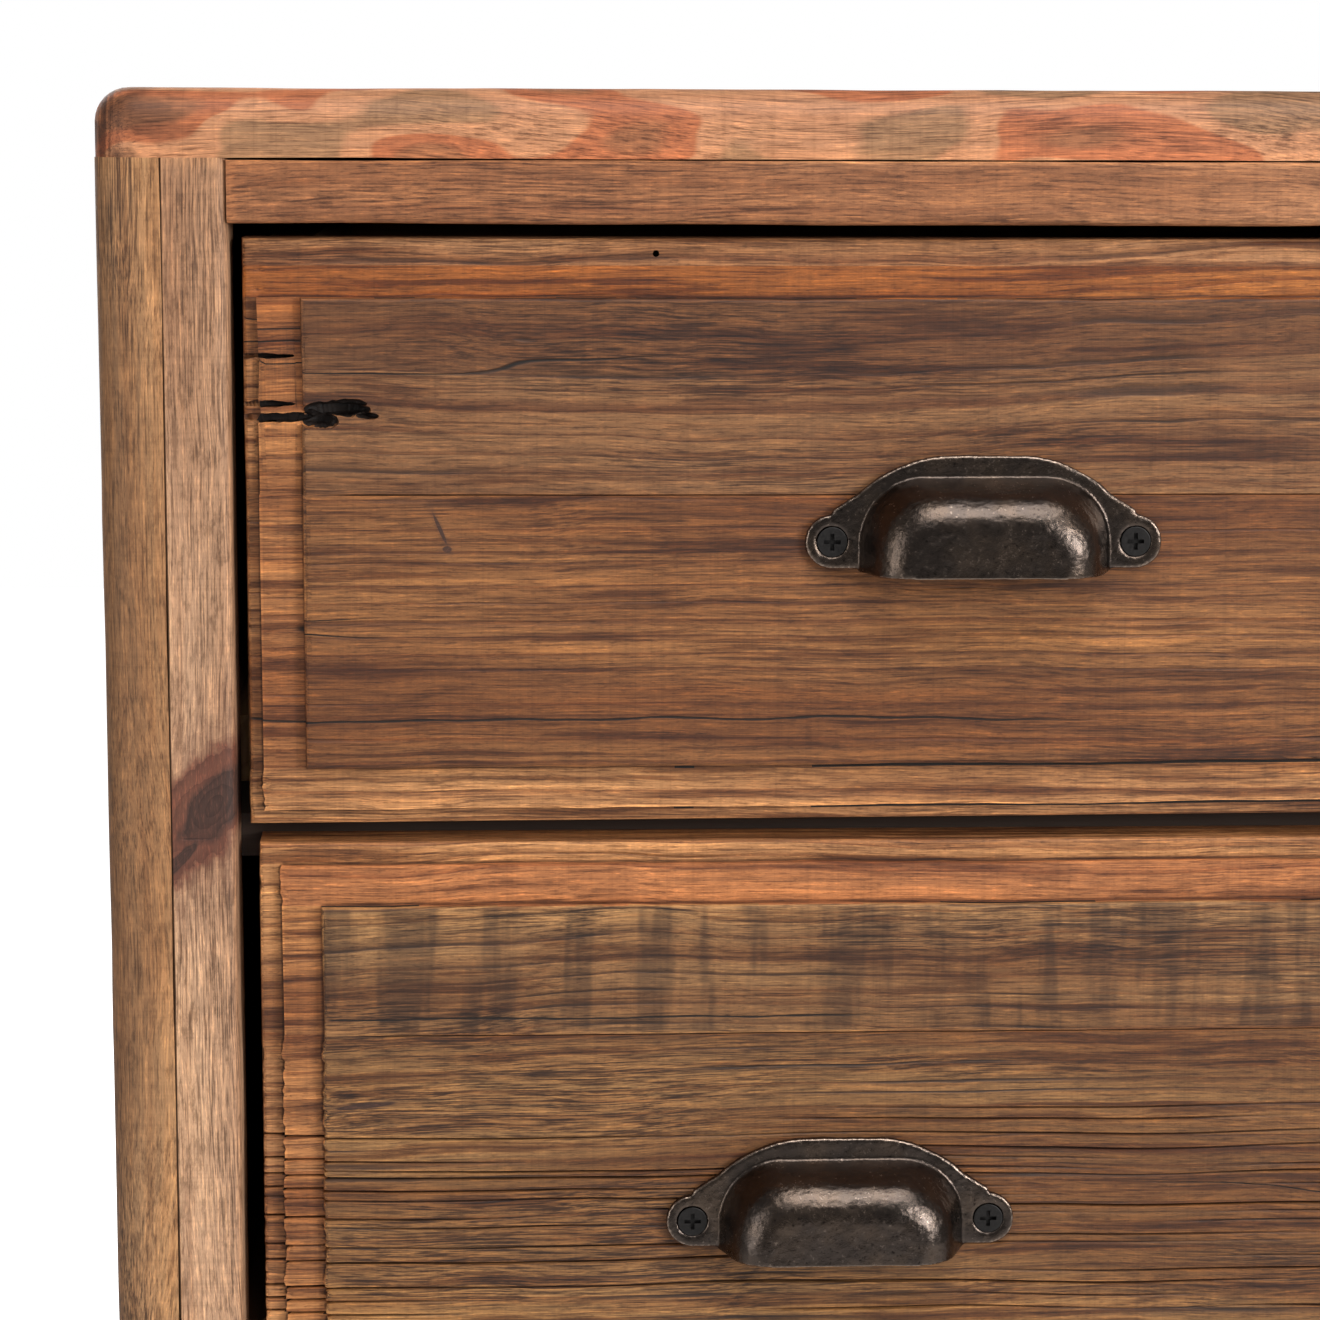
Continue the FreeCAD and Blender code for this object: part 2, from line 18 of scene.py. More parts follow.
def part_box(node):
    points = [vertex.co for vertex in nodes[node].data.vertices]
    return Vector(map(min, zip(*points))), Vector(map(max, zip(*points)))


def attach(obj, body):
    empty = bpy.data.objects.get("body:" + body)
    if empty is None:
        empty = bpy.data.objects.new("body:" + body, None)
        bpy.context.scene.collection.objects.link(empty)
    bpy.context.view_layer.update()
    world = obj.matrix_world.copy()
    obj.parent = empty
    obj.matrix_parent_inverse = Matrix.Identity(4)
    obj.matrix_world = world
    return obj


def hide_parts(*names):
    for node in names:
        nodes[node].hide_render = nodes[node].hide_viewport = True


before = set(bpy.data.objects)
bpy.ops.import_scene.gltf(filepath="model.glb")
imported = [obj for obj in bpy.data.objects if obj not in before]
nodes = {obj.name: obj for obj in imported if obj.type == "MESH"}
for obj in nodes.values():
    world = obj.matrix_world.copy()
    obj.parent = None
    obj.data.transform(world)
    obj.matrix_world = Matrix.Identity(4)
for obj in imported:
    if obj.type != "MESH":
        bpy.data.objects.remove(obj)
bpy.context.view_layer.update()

# %% [markdown]
# ## Sizes
# Every size comes from the frame's own boxes. Only what a box can't tell is written here: how far the
# steps of a drawer front lie behind its field, and how wide they are.

# %% Sizes read from the frame
def corners(node):
    """The lowest and the highest corner of a packed board."""
    return [Vector(corner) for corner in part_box(node)]


mm = 0.001
hair = 1e-5
top_low, top_high = corners("top_panel")
front_y = top_low.y
lip_drop = 4.9 * mm
band_drop = 2.6 * mm
rebate_drop = 0.6 * mm
short_steps = {"lip": 3.8 * mm, "inset": 14.6 * mm}
long_steps = {"lip": 5.5 * mm, "inset": 15.7 * mm}
drawers = ["short_drawer_left", "short_drawer_right"] + ["long_drawer_%d" % row for row in range(1, 5)]
print("front plane at y = %.4f, case height %.4f" % (front_y, top_high.z))

# %% [markdown]
# ## Camera
# The photograph is a close view of the upper left corner. Its lens and place follow from the edges of
# the chest: the side, the stile, the rail and the drawer fronts, whose sizes are known.

# %% The camera
camera_data = bpy.data.cameras.new("camera")
camera_data.lens = 95.45
camera_data.sensor_width = 36.0
camera_data.clip_start = 0.01
camera = bpy.data.objects.new("camera", camera_data)
bpy.context.collection.objects.link(camera)
bpy.context.scene.camera = camera

camera_place = Vector((-0.3083, -1.0675, 1.0672))
yaw, pitch, roll = (math.radians(angle) for angle in (2.715, 8.722, 0.19))
ahead = Vector((math.sin(yaw) * math.cos(pitch), math.cos(yaw) * math.cos(pitch), -math.sin(pitch)))
level_right = Vector((math.cos(yaw), -math.sin(yaw), 0.0))
level_up = level_right.cross(ahead)
right = level_right * math.cos(roll) + level_up * math.sin(roll)
up = level_up * math.cos(roll) - level_right * math.sin(roll)
turn = Matrix((right, up, -ahead)).transposed()
camera.matrix_world = Matrix.Translation(camera_place) @ turn.to_4x4()
print("camera at", tuple(round(v, 4) for v in camera_place))

# %% [markdown]
# ## Helpers for modelling
# Each piece starts as a block of the right size in the right place, and is shaped in edit mode. The
# helpers below start a block, pick edges or faces by their place, and apply a modifier.

# %% Modelling helpers
def only(piece):
    """Makes one piece the selected and active object."""
    bpy.ops.object.select_all(action="DESELECT")
    piece.select_set(True)
    bpy.context.view_layer.objects.active = piece


def mode(name):
    bpy.ops.object.mode_set(mode=name)


def add(shape, name, **settings):
    """Adds a simple shape, and puts its place, turn and size in its mesh."""
    bpy.ops.object.select_all(action="DESELECT")
    getattr(bpy.ops.mesh, "primitive_%s_add" % shape)(**settings)
    piece = bpy.context.object
    piece.name = piece.data.name = name
    bpy.ops.object.transform_apply(location=True, rotation=True, scale=True)
    return piece


def start_block(name, low, high):
    """A block between two corners."""
    return add("cube", name, size=1.0, location=[(a + b) / 2.0 for a, b in zip(low, high)],
               scale=[b - a for a, b in zip(low, high)])


def close(a, b):
    return abs(a - b) < hair


def pick_if(piece, kind, test):
    """In edit mode, selects the edges or faces that pass a test."""
    mesh = bmesh.from_edit_mesh(piece.data)
    bpy.ops.mesh.select_mode(type="EDGE" if kind == "edges" else "FACE")
    bpy.ops.mesh.select_all(action="DESELECT")
    for element in getattr(mesh, kind):
        if test(element):
            element.select_set(True)
    bmesh.update_edit_mesh(piece.data)


def pick(piece, kind, test):
    """In edit mode, selects the edges or faces whose points all pass a test."""
    pick_if(piece, kind, lambda element: all(test(vertex.co) for vertex in element.verts))


def bevel(width, segments):
    bpy.ops.mesh.bevel(offset=width, segments=segments, affect="EDGES")


def slice_at(axis, places):
    """In edit mode, cuts the whole piece square to an axis at each place."""
    for where in places:
        bpy.ops.mesh.select_all(action="SELECT")
        point, normal = [0.0, 0.0, 0.0], [0.0, 0.0, 0.0]
        point[axis], normal[axis] = where, 1.0
        bpy.ops.mesh.bisect(plane_co=point, plane_no=normal)


def apply_modifier(piece, kind, **settings):
    """Adds a modifier, sets it up and applies it."""
    only(piece)
    modifier = piece.modifiers.new(kind.lower(), kind)
    for key, value in settings.items():
        setattr(modifier, key, value)
    bpy.ops.object.modifier_apply(modifier=modifier.name)


def combine(piece, others, operation="DIFFERENCE", solver="EXACT"):
    """Cuts other shapes out of a piece, or joins them to it, and clears them away."""
    for other in others:
        apply_modifier(piece, "BOOLEAN", operation=operation, solver=solver, object=other)
        bpy.data.objects.remove(other)


def clouds(name, size, depth=2):
    """A soft procedural noise for displacement, with features about as large as the size, in metres."""
    texture = bpy.data.textures.new(name, "CLOUDS")
    texture.noise_scale = size
    texture.noise_depth = depth
    return texture


def displace(piece, texture, strength, mid_level=0.5, **settings):
    apply_modifier(piece, "DISPLACE", texture=texture, texture_coords="GLOBAL", strength=strength,
                   mid_level=mid_level, **settings)


def copy_of(piece, name):
    """A copy with a mesh of its own."""
    copy = piece.copy()
    copy.data = piece.data.copy()
    copy.name = copy.data.name = name
    bpy.context.collection.objects.link(copy)
    return copy


slow_waver = clouds("slow waver", 0.045)
ragged = clouds("ragged", 0.0035)
print("helpers ready")

# %% [markdown]
# ## Marks that the finishes read
# Handled wood wears pale and smooth where it sticks out. The finishes paint such places paler, for that
# wear and as a painted highlight, and paint the places that lie low darker, as painted shade. Each new
# piece carries an attribute called edge, which says how far a point sticks out from its neighbours. Three
# more say which board a face belongs to, what colour that board has and how weathered it is.

# %% Attributes
def srgb(red, green, blue):
    """A colour as seen on a screen, 0 to 255, as linear values."""
    shares = (value / 255.0 for value in (red, green, blue))
    return tuple(v / 12.92 if v <= 0.04045 else ((v + 0.055) / 1.055) ** 2.4 for v in shares)


def read(items, field, width, kind=np.float64):
    """One row of numbers for each point or edge of a mesh."""
    values = np.empty(len(items) * width, dtype=kind)
    items.foreach_get(field, values)
    return values.reshape(-1, width)


def mark_edges(piece, strength=1.0):
    """Stores how far each point stands out from its neighbours, as the attribute edge."""
    mesh = piece.data
    places = read(mesh.vertices, "co", 3)
    normals = read(mesh.vertices, "normal", 3)
    pairs = read(mesh.edges, "vertices", 2, np.int64)
    total = np.zeros(len(places))
    share = np.zeros(len(places))
    for a, b in ((pairs[:, 0], pairs[:, 1]), (pairs[:, 1], pairs[:, 0])):
        step = places[a] - places[b]
        length = np.maximum(np.linalg.norm(step, axis=1), 1e-7)
        np.add.at(total, a, (step * normals[a]).sum(axis=1) / length)
        np.add.at(share, a, 1.0)
    edge = np.clip(total / np.maximum(share, 1.0) * strength, -1.0, 1.0)
    mesh.attributes.new("edge", "FLOAT", "POINT")
    mesh.attributes["edge"].data.foreach_set("value", edge.astype(np.float32))


def mark_boards(piece, board_of):
    """Stores each face's board (seed, heart place across, heart place behind), colour and weathering."""
    mesh = piece.data
    boards, tones, ages = [], [], []
    for face in mesh.polygons:
        board, tone, age = board_of(face.center)
        boards.extend(board)
        tones.extend((*tone, 1.0))
        ages.append(age)
    for name, kind, field, values in (("board", "FLOAT_VECTOR", "vector", boards),
                                      ("tone", "FLOAT_COLOR", "color", tones),
                                      ("weather", "FLOAT", "value", ages)):
        mesh.attributes.new(name, kind, "FACE")
        mesh.attributes[name].data.foreach_set(field, values)


print("salmon pine is", tuple(round(v, 3) for v in srgb(196, 128, 88)))

# %% [markdown]
# ## Shader groups
# All the wood shares one group that lays out the year rings, the fibres, the cracks and the blotches
# of a board, from a point in metres with the grain along X. The rings are cylinders round a heart that
# lies behind the board, and wander slowly along it. A second group draws a knot. What a node puts out is
# kept as a value, so that a sum of such values is written as a sum.

# %% Shader helpers
class Value:
    """What a node puts out."""

    def __init__(self, shades, socket):
        self.shades, self.socket = shades, socket

    def __add__(self, other):
        return self.shades.calc("ADD", self, other)

    def __sub__(self, other):
        return self.shades.calc("SUBTRACT", self, other)

    def __rsub__(self, other):
        return self.shades.calc("SUBTRACT", other, self)

    def __mul__(self, other):
        return self.shades.calc("MULTIPLY", self, other)

    def __truediv__(self, other):
        return self.shades.calc("DIVIDE", self, other)

    def __pow__(self, other):
        return self.shades.calc("POWER", self, other)

    def __abs__(self):
        return self.shades.calc("ABSOLUTE", self)

    def fraction(self):
        return self.shades.calc("FRACT", self)

    def between(self, low, high):
        """0 below low, 1 above high, smooth between them. Low may be the larger."""
        inputs = {"Value": self, "From Min": low, "From Max": high}
        return self.shades.value(0, "MapRange", inputs, interpolation_type="SMOOTHSTEP")


class Shades:
    """The nodes of one material or group, and short ways to add to them."""

    def __init__(self, tree):
        self.tree = tree

    def feed(self, socket, value):
        """Joins a socket to a value, or sets it."""
        if isinstance(value, Value):
            self.tree.links.new(value.socket, socket)
        else:
            socket.default_value = value

    def node(self, kind, inputs, **settings):
        """Adds a node, sets it up and feeds its inputs."""
        node = self.tree.nodes.new("ShaderNode" + kind)
        for name, value in settings.items():
            setattr(node, name, value)
        for label, value in inputs.items():
            self.feed(node.inputs[label], value)
        return node

    def value(self, output, kind, inputs, **settings):
        return Value(self, self.node(kind, inputs, **settings).outputs[output])

    def calc(self, operation, *values):
        return self.value(0, "Math", dict(enumerate(values)), operation=operation)

    def vector(self, operation, a, b=(0.0, 0.0, 0.0)):
        return self.value("Value" if operation == "LENGTH" else 0, "VectorMath", {0: a, 1: b}, operation=operation)

    def split(self, vector):
        return [Value(self, output) for output in self.node("SeparateXYZ", {0: vector}).outputs]

    def join(self, x, y, z):
        return self.value(0, "CombineXYZ", {0: x, 1: y, 2: z})

    def noise(self, point, scale=1.0, detail=2.0, roughness=0.5):
        inputs = {"Vector": point, "Scale": scale, "Detail": detail, "Roughness": roughness}
        return self.value("Fac", "TexNoise", inputs)

    def grain(self, point, along, across, detail=1.0, roughness=0.5):
        """A noise that is long along the grain and narrow across it, in features per metre."""
        return self.noise(self.vector("MULTIPLY", point, (along, across, across)), 1.0, detail, roughness)

    def blend(self, factor, a, b, blend_type="MIX"):
        a, b = (colour if isinstance(colour, Value) else (*colour[:3], 1.0) for colour in (a, b))
        return self.value(2, "Mix", {"Factor": factor, 6: a, 7: b}, data_type="RGBA", blend_type=blend_type)

    def tint(self, factor, colour, by):
        """A colour multiplied by another, by a factor."""
        return self.blend(factor, colour, by, "MULTIPLY")

    def attribute(self, name, output="Fac"):
        return self.value(output, "Attribute", {}, attribute_name=name)

    def place(self):
        """The point on the piece, in metres, in the chest's own frame."""
        return self.value("Object", "TexCoord", {})

    def turned(self, point, along):
        """The point with the grain's axis brought to X."""
        if along == "X":
            return point
        x, y, z = self.split(point)
        return self.join(z, y, x) if along == "Z" else self.join(y, x, z)

    def group(self, tree, **inputs):
        """Places a group. The words of an input's label are joined by underscores."""
        inputs = {label.replace("_", " "): value for label, value in inputs.items()}
        node = self.node("Group", inputs, node_tree=tree)
        return {output.name: Value(self, output) for output in node.outputs}

    def finish(self, **results):
        """Feeds what a group puts out."""
        for label, value in results.items():
            self.feed(self.results[label], value)
        return self.tree

    def dress(self, shader, colour, rough, height=None, depth=0.0):
        """Feeds the shader of a material."""
        self.feed(shader["Base Color"], colour)
        self.feed(shader["Roughness"], rough)
        if height:
            self.feed(shader["Normal"], self.value("Normal", "Bump", {"Height": height, "Distance": depth}))


def new_group(name, inputs, outputs):
    """A node group with named sockets. An input without a value is a vector."""
    tree = bpy.data.node_groups.new(name, "ShaderNodeTree")
    for label, value in inputs.items():
        kind = "NodeSocketVector" if value is None else "NodeSocketFloat"
        socket = tree.interface.new_socket(label, in_out="INPUT", socket_type=kind)
        if value is not None:
            socket.default_value = value
    for label in outputs:
        tree.interface.new_socket(label, in_out="OUTPUT", socket_type="NodeSocketFloat")
    shades = Shades(tree)
    source = tree.nodes.new("NodeGroupInput")
    shades.results = tree.nodes.new("NodeGroupOutput").inputs
    return shades, {label: Value(shades, source.outputs[label]) for label in inputs}


def new_material(name):
    material = bpy.data.materials.new(name)
    material.use_nodes = True
    return material, Shades(material.node_tree), material.node_tree.nodes["Principled BSDF"].inputs


print("shader helpers ready")


# %% The wood group
def make_wood_group():
    s, given = new_group(
        "pine figure",
        {"Point": None, "Board": None, "Ring Pitch": 0.004, "Waver": 0.008, "Crack Share": 0.3},
        ("Ring", "Broad", "Streak", "Fibre", "Fleck", "Furrow", "Crack", "Saw", "Height"))
    seed, heart_across, heart_behind = s.split(given["Board"])
    moved = s.vector("ADD", given["Point"], s.join(seed * 7.31, seed * 3.17, seed * 5.53))
    wander = s.grain(moved, 3.5, 8.0) - 0.5
    ripple = s.grain(moved, 24.0, 45.0) - 0.5
    sway = wander * given["Waver"] + ripple * 0.0028
    swayed = s.vector("ADD", moved, s.join(0.0, sway, sway))

    x, y, z = s.split(given["Point"])
    from_heart = s.join(0.0, y - heart_behind + sway * 0.6, z - heart_across + sway)
    turns = s.vector("LENGTH", from_heart) / given["Ring Pitch"]
    turns = turns + s.noise(s.join(turns, seed, 0.0), 0.7, 1.0) * 2.6
    phase = turns.fraction()
    ring = phase ** 4.0 * phase.between(1.0, 0.94)

    broad = s.grain(swayed, 3.0, 28.0, 2.0)
    streak = s.grain(swayed, 11.0, 300.0, 4.0, 0.65)
    fibre = s.grain(swayed, 60.0, 2300.0, 3.0, 0.7)
    fleck = s.grain(moved, 330.0, 1900.0, 2.0, 0.7)
    saw = s.grain(moved, 620.0, 14.0, 2.0, 0.7)

    limit = 0.85 - given["Crack Share"] * 0.6
    furrow = phase.between(0.72, 0.9) * phase.between(1.0, 0.95) * streak.between(0.3, 0.55)
    furrow = furrow * s.grain(swayed, 11.0, 90.0).between(limit, limit + 0.12)
    limit = 0.8 - given["Crack Share"] * 0.3
    crack = abs(s.grain(swayed, 2.2, 75.0) - 0.5).between(0.006, 0.001)
    crack = crack * s.grain(moved, 6.0, 26.0).between(limit, limit + 0.04)
    height = streak * 0.35 + saw * 0.2 + fibre * 0.4 + fleck * 0.2 - furrow * 0.8 - crack * 1.6
    return s.finish(Ring=ring, Broad=broad, Streak=streak, Fibre=fibre, Fleck=fleck, Furrow=furrow, Crack=crack,
                    Saw=saw, Height=height)


wood_group = make_wood_group()
print("group:", wood_group.name, "with", len(wood_group.nodes), "nodes")

# %% [markdown]
# A knot is where a branch left the trunk. It shows as a dark oval with rings of its own, often with a
# crack or a rotted hole, and the grain runs round it. Its group takes a point and the knot's centre, size
# and turn on the face, and puts out how much a point belongs to it and where its rings run.

# %% The knot group
def make_knot_group():
    s, given = new_group("knot", {"Point": None, "Centre": None, "Length": 0.01, "Width": 0.006, "Turn": 0.0},
                         ("Mask", "Halo", "Rings"))
    x, y, z = s.split(s.vector("SUBTRACT", given["Point"], given["Centre"]))
    wobble = s.noise(given["Point"], 160.0, 3.0, 0.6) * 0.9 + 0.55
    cosine, sine = s.calc("COSINE", given["Turn"]), s.calc("SINE", given["Turn"])
    u = (x * cosine + z * sine) / given["Length"]
    v = (z * cosine - x * sine) / given["Width"]
    distance = s.vector("LENGTH", s.join(u, v, 0.0)) * wobble
    return s.finish(Mask=distance.between(1.1, 0.8), Halo=distance.between(2.6, 0.9),
                    Rings=(distance * 3.6).fraction() ** 2.0)


knot_group = make_knot_group()
print("group:", knot_group.name, "with", len(knot_group.nodes), "nodes")

# %% [markdown]
# Old boards split along the grain, and a split stays fine and dark over a long way. Its group draws one
# such line on the face, from its two ends and its wander.

# %% The split group
def make_split_group():
    s, given = new_group(
        "split",
        {"Point": None, "Left": 0.0, "Right": 0.1, "Level": 0.0, "Wander": 0.002, "Width": 0.0003}, ("Mask",))
    x, y, z = s.split(given["Point"])
    left, right, level = given["Left"], given["Right"], given["Level"]
    path = (s.noise(s.join(x * 16.0, level, 0.0), detail=3.0) - 0.5) * given["Wander"]
    width = given["Width"] * (s.noise(s.join(x * 120.0, 0.0, level), detail=2.0) * 1.6 + 0.2)
    line = abs(z - (level + path)).between(width, width * 0.4)
    return s.finish(Mask=line * (x.between(left, left + 0.002) * x.between(right, right - 0.03)))


split_group = make_split_group()
print("group:", split_group.name, "with", len(split_group.nodes), "nodes")

# %% [markdown]
# ## Finishes for the wood
# One function makes each old pine finish from the group. The colour starts from the board's own tone,
# goes darker on the rings and in the fibres, grey or dark in blotches, black in the cracks, pale on the
# edges that hands and cloths have rubbed, with a painted highlight there as well, and darker in hollows
# as painted shade. The grain runs along X, Y or Z, so the point is turned first.

# %% The old pine finish
def old_pine(name, along="X", pitch=0.004, waver=0.01, cracks=0.3, ring=0.6, streak=0.6, broad=0.6, fleck=0.5,
             depth=0.25, rough=0.5, islands=0.0, mottle=0.25, knots=(), splits=(), stains=(), seam=0.0):
    material, s, shader = new_material(name)
    spot = s.place()
    x, y, z = s.split(spot)
    point = s.turned(spot, along)
    figure = s.group(wood_group, Point=point, Board=s.attribute("board", "Vector"), Ring_Pitch=pitch, Waver=waver,
                     Crack_Share=cracks)
    age = s.attribute("weather")

    def tints(colour, rows):
        """Each row is a mask, where it starts and ends, a strength, and what multiplies the colour."""
        for mask, low, high, strength, by in rows:
            colour = s.tint(mask.between(low, high) * strength, colour, by)
        return colour

    colour = tints(s.attribute("tone", "Color"), [(figure["Broad"], 0.45, 0.62, broad, (0.6, 0.5, 0.42)),
                                                  (figure["Broad"], 0.48, 0.34, broad, (1.22, 1.24, 1.2))])
    if islands:
        bent = s.vector("ADD", point, s.join(s.grain(point, 22.0, 60.0, 2.0) * 0.03, 0.0, 0.0))
        patch = s.grain(bent, 20.0, 42.0, 1.0, 0.4)
        share = y.between(front_y + 0.022, front_y + 0.010) * (islands - 0.15) + 0.15
        end = abs(x)
        dull = end.between(0.372, 0.392) * s.grain(spot, 60.0, 120.0, 3.0).between(0.4, 0.56)
        comb = s.grain(spot, 700.0, 30.0, 3.0).between(0.56, 0.44)
        colour = tints(colour, [(patch, 0.53, 0.55, share, (0.8, 0.54, 0.43)),
                                (patch, 0.47, 0.44, share, (0.62, 0.7, 0.7)),
                                (patch, 0.6, 0.64, share, (0.75, 0.9, 0.95))])
        colour = s.tint(dull * 0.85, colour, (0.42, 0.42, 0.42))
        colour = tints(colour, [(end, 0.397, 0.403, comb, (0.4, 0.36, 0.34))])
    blotch = s.grain(point, 130.0, 330.0, 5.0, 0.7)
    colour = s.tint(figure["Streak"].between(0.46, 0.6) * age * 0.85, colour, (0.55, 0.6, 0.68))
    colour = s.tint(figure["Ring"] * ring, colour, (0.45, 0.32, 0.25))
    colour = tints(colour, [(figure["Streak"], 0.5, 0.36, streak, (0.42, 0.34, 0.28)),
                            (figure["Streak"], 0.53, 0.66, streak, (1.45, 1.42, 1.34)),
                            (figure["Fibre"], 0.49, 0.34, 0.9, (0.42, 0.36, 0.31)),
                            (figure["Fibre"], 0.52, 0.68, 0.9, (1.5, 1.46, 1.36)),
                            (figure["Fleck"], 0.56, 0.72, fleck, (1.6, 1.52, 1.4)),
                            (figure["Fleck"], 0.45, 0.3, fleck, (0.5, 0.45, 0.4)),
                            (figure["Saw"], 0.52, 0.7, 0.35, (1.2, 1.2, 1.2)),
                            (figure["Saw"], 0.46, 0.32, 0.35, (0.76, 0.74, 0.72)),
                            (blotch, 0.49, 0.36, mottle, (0.5, 0.46, 0.42)),
                            (blotch, 0.53, 0.66, mottle, (1.4, 1.38, 1.34))])
    lines = figure["Fibre"].between(0.56, 0.42) * s.grain(point, 5.0, 55.0, 2.0).between(0.47, 0.6)
    colour = s.tint(lines * (age * 0.75 + 0.25), colour, (0.34, 0.3, 0.28))
    colour = s.blend(figure["Furrow"] * age * 0.85, colour, srgb(40, 27, 19))
    colour = s.blend(figure["Crack"], colour, srgb(22, 15, 11))
    for left, right, bottom, top in stains:
        inside = z.between(bottom, bottom + 0.0006) * z.between(top, top - 0.0006)
        inside = inside * x.between(left, left + 0.001) * x.between(right, right - 0.001)
        bars = s.grain(spot, 95.0, 14.0, 3.0, 0.6).between(0.46, 0.62) * inside
        colour = s.tint(bars * 0.8, colour, (0.42, 0.42, 0.46))
        colour = s.tint(inside * 0.5, colour, (0.86, 0.9, 1.0))
    for centre, length, width, turn, core, rim in knots:
        knot = s.group(knot_group, Point=spot, Centre=centre, Length=length, Width=width, Turn=turn)
        halo = knot["Halo"] * (knot["Rings"] * 0.5 + 0.4)
        colour = s.blend(halo * 0.8, colour, s.blend(0.6, colour, rim))
        body = s.blend(knot["Rings"], core, [0.5 * v for v in core])
        body = s.tint(figure["Fleck"].between(0.5, 0.65), body, (1.8, 1.6, 1.5))
        colour = s.blend(knot["Mask"] * 0.92, colour, body)
    height = figure["Height"]
    for left, right, level, wander, width in splits:
        crack = s.group(split_group, Point=spot, Left=left, Right=right, Level=level, Wander=wander, Width=width)
        line = crack["Mask"]
        colour = s.blend(line * 0.95, colour, srgb(20, 13, 10))
        height = height - line * 2.0
    if seam:
        line = abs(x).between(seam - 0.7 * mm, seam - 0.3 * mm)
        colour = s.blend(line * 0.85, colour, srgb(24, 16, 12))

    edge = s.attribute("edge")
    # Pale on outer edges: wear and a painted highlight. Dark in hollows: painted shade.
    colour = tints(colour, [(edge, 0.06, 0.3, 0.65, (1.4, 1.35, 1.25)), (edge, -0.05, -0.25, 0.8, (0.25, 0.2, 0.17))])
    s.dress(shader, colour, figure["Fibre"] * 0.25 + rough, height, depth * mm)
    shader["Specular IOR Level"].default_value = 0.35
    return material


print("old pine ready")

# %% The five old finishes
stile_low = corners("stile_left")[0]
stile_face = stile_low.y
knot_red = srgb(92, 52, 38)
knot_dark = srgb(56, 36, 28)
pine_top = old_pine("waxed pine, top", pitch=0.011, waver=0.05, cracks=0.03, ring=0.2, streak=0.2, broad=0.1,
                    fleck=0.4, depth=0.08, rough=0.45, islands=0.95, mottle=0.4)
pine_side = old_pine("worn pine, sides", along="Z", pitch=0.007, waver=0.03, cracks=0.2, ring=0.3, streak=0.45,
                     broad=0.6, fleck=0.5, mottle=0.6, depth=0.2)
pine_stile = old_pine("worn pine, stiles", along="Z", pitch=0.006, waver=0.03, cracks=0.05, ring=0.3, streak=0.25,
                      broad=0.9, fleck=0.5, mottle=0.7, depth=0.2, seam=-stile_low.x,
                      knots=[((-0.3822, stile_face, 0.8960), 0.0215, 0.0105, 0.98, knot_red, knot_red),
                             ((-0.3790, stile_face, 0.8975), 0.0125, 0.0062, 0.98, knot_dark, knot_red),
                             ((-0.3875, stile_face, 0.8840), 0.0070, 0.0016, 0.80, knot_dark, knot_red),
                             ((0.383, stile_face, 0.352), 0.008, 0.006, 0.7, knot_red, knot_dark)],
                      splits=[(-0.3880, -0.3740, 0.8890, 0.004, 0.0003)])
pine_rail = old_pine("worn pine, rails", pitch=0.006, waver=0.02, cracks=0.08, ring=0.5, streak=0.6, broad=0.9,
                     fleck=0.7, mottle=0.5, depth=0.15)
pine_front = old_pine("weathered pine, fronts", pitch=0.0042, waver=0.016, cracks=0.55, ring=1.0, streak=1.0,
                      broad=1.0, fleck=0.7, depth=0.3, mottle=0.35,
                      knots=[((-0.3220, front_y, 0.9671), 0.0045, 0.0005, -1.16, knot_dark, knot_dark),
                             ((-0.3203, front_y, 0.9622), 0.0012, 0.0009, 0.0, knot_dark, knot_dark),
                             ((-0.342, front_y, 0.8196), 0.0075, 0.0007, 0.1, knot_dark, knot_dark),
                             ((0.215, front_y, 0.960), 0.011, 0.0065, 0.2, knot_red, knot_dark),
                             ((0.062, front_y, 0.612), 0.013, 0.008, -0.2, knot_dark, knot_red),
                             ((-0.305, front_y, 0.352), 0.010, 0.007, 0.3, knot_red, knot_dark),
                             ((0.290, front_y, 0.178), 0.012, 0.0075, 0.0, knot_dark, knot_red)],
                      splits=[(-0.3710, -0.150, 0.9190, 0.006, 0.00035), (-0.352, -0.200, 0.8420, 0.004, 0.0003),
                              (-0.30, 0.05, 0.545, 0.008, 0.0004), (0.05, 0.36, 0.232, 0.008, 0.0004)],
                      stains=[(-0.3527, 0.3527, 0.8383, 0.8712)])
print("finishes:", [m.name for m in bpy.data.materials])

# %% [markdown]
# ## The plain wood inside
# The drawer boxes, runners, guides and back were never polished. They keep their solids, so their finish
# reads nothing but the place of a point, and takes its boards from where they lie.

# %% The plain pine finish
def plain_pine(name, along, tone, pitch=0.005):
    material, s, shader = new_material(name)
    figure = s.group(wood_group, Point=s.turned(s.place(), along), Board=(2.0, 0.3, 0.15), Ring_Pitch=pitch,
                     Waver=0.03, Crack_Share=0.05)
    dark = [v * w for v, w in zip(tone, (0.62, 0.5, 0.4))]
    stain = [v * w for v, w in zip(tone, (0.72, 0.66, 0.6))]
    colour = s.blend(figure["Ring"] * 0.55, tone, dark)
    colour = s.blend(figure["Broad"].between(0.45, 0.75) * 0.7, colour, stain)
    colour = s.blend(figure["Streak"].between(0.5, 0.3) * 0.5, colour, dark)
    colour = s.blend(figure["Crack"], colour, srgb(40, 28, 20))
    s.dress(shader, colour, figure["Fibre"] * 0.2 + 0.65, figure["Height"], 0.15 * mm)
    return material


inside_tone = srgb(198, 156, 108)
pine_inside_x = plain_pine("plain pine, across", "X", inside_tone)
# The rails between the drawers take a very dark tone: painted shade for the shade they lie in behind the fronts.
shaded_rail_pine_x = plain_pine("pine painted dark as shade, across", "X", srgb(48, 32, 20))
pine_inside_y = plain_pine("plain pine, front to back", "Y", inside_tone)
pine_inside_z = plain_pine("plain pine, upright", "Z", srgb(176, 134, 94), pitch=0.007)

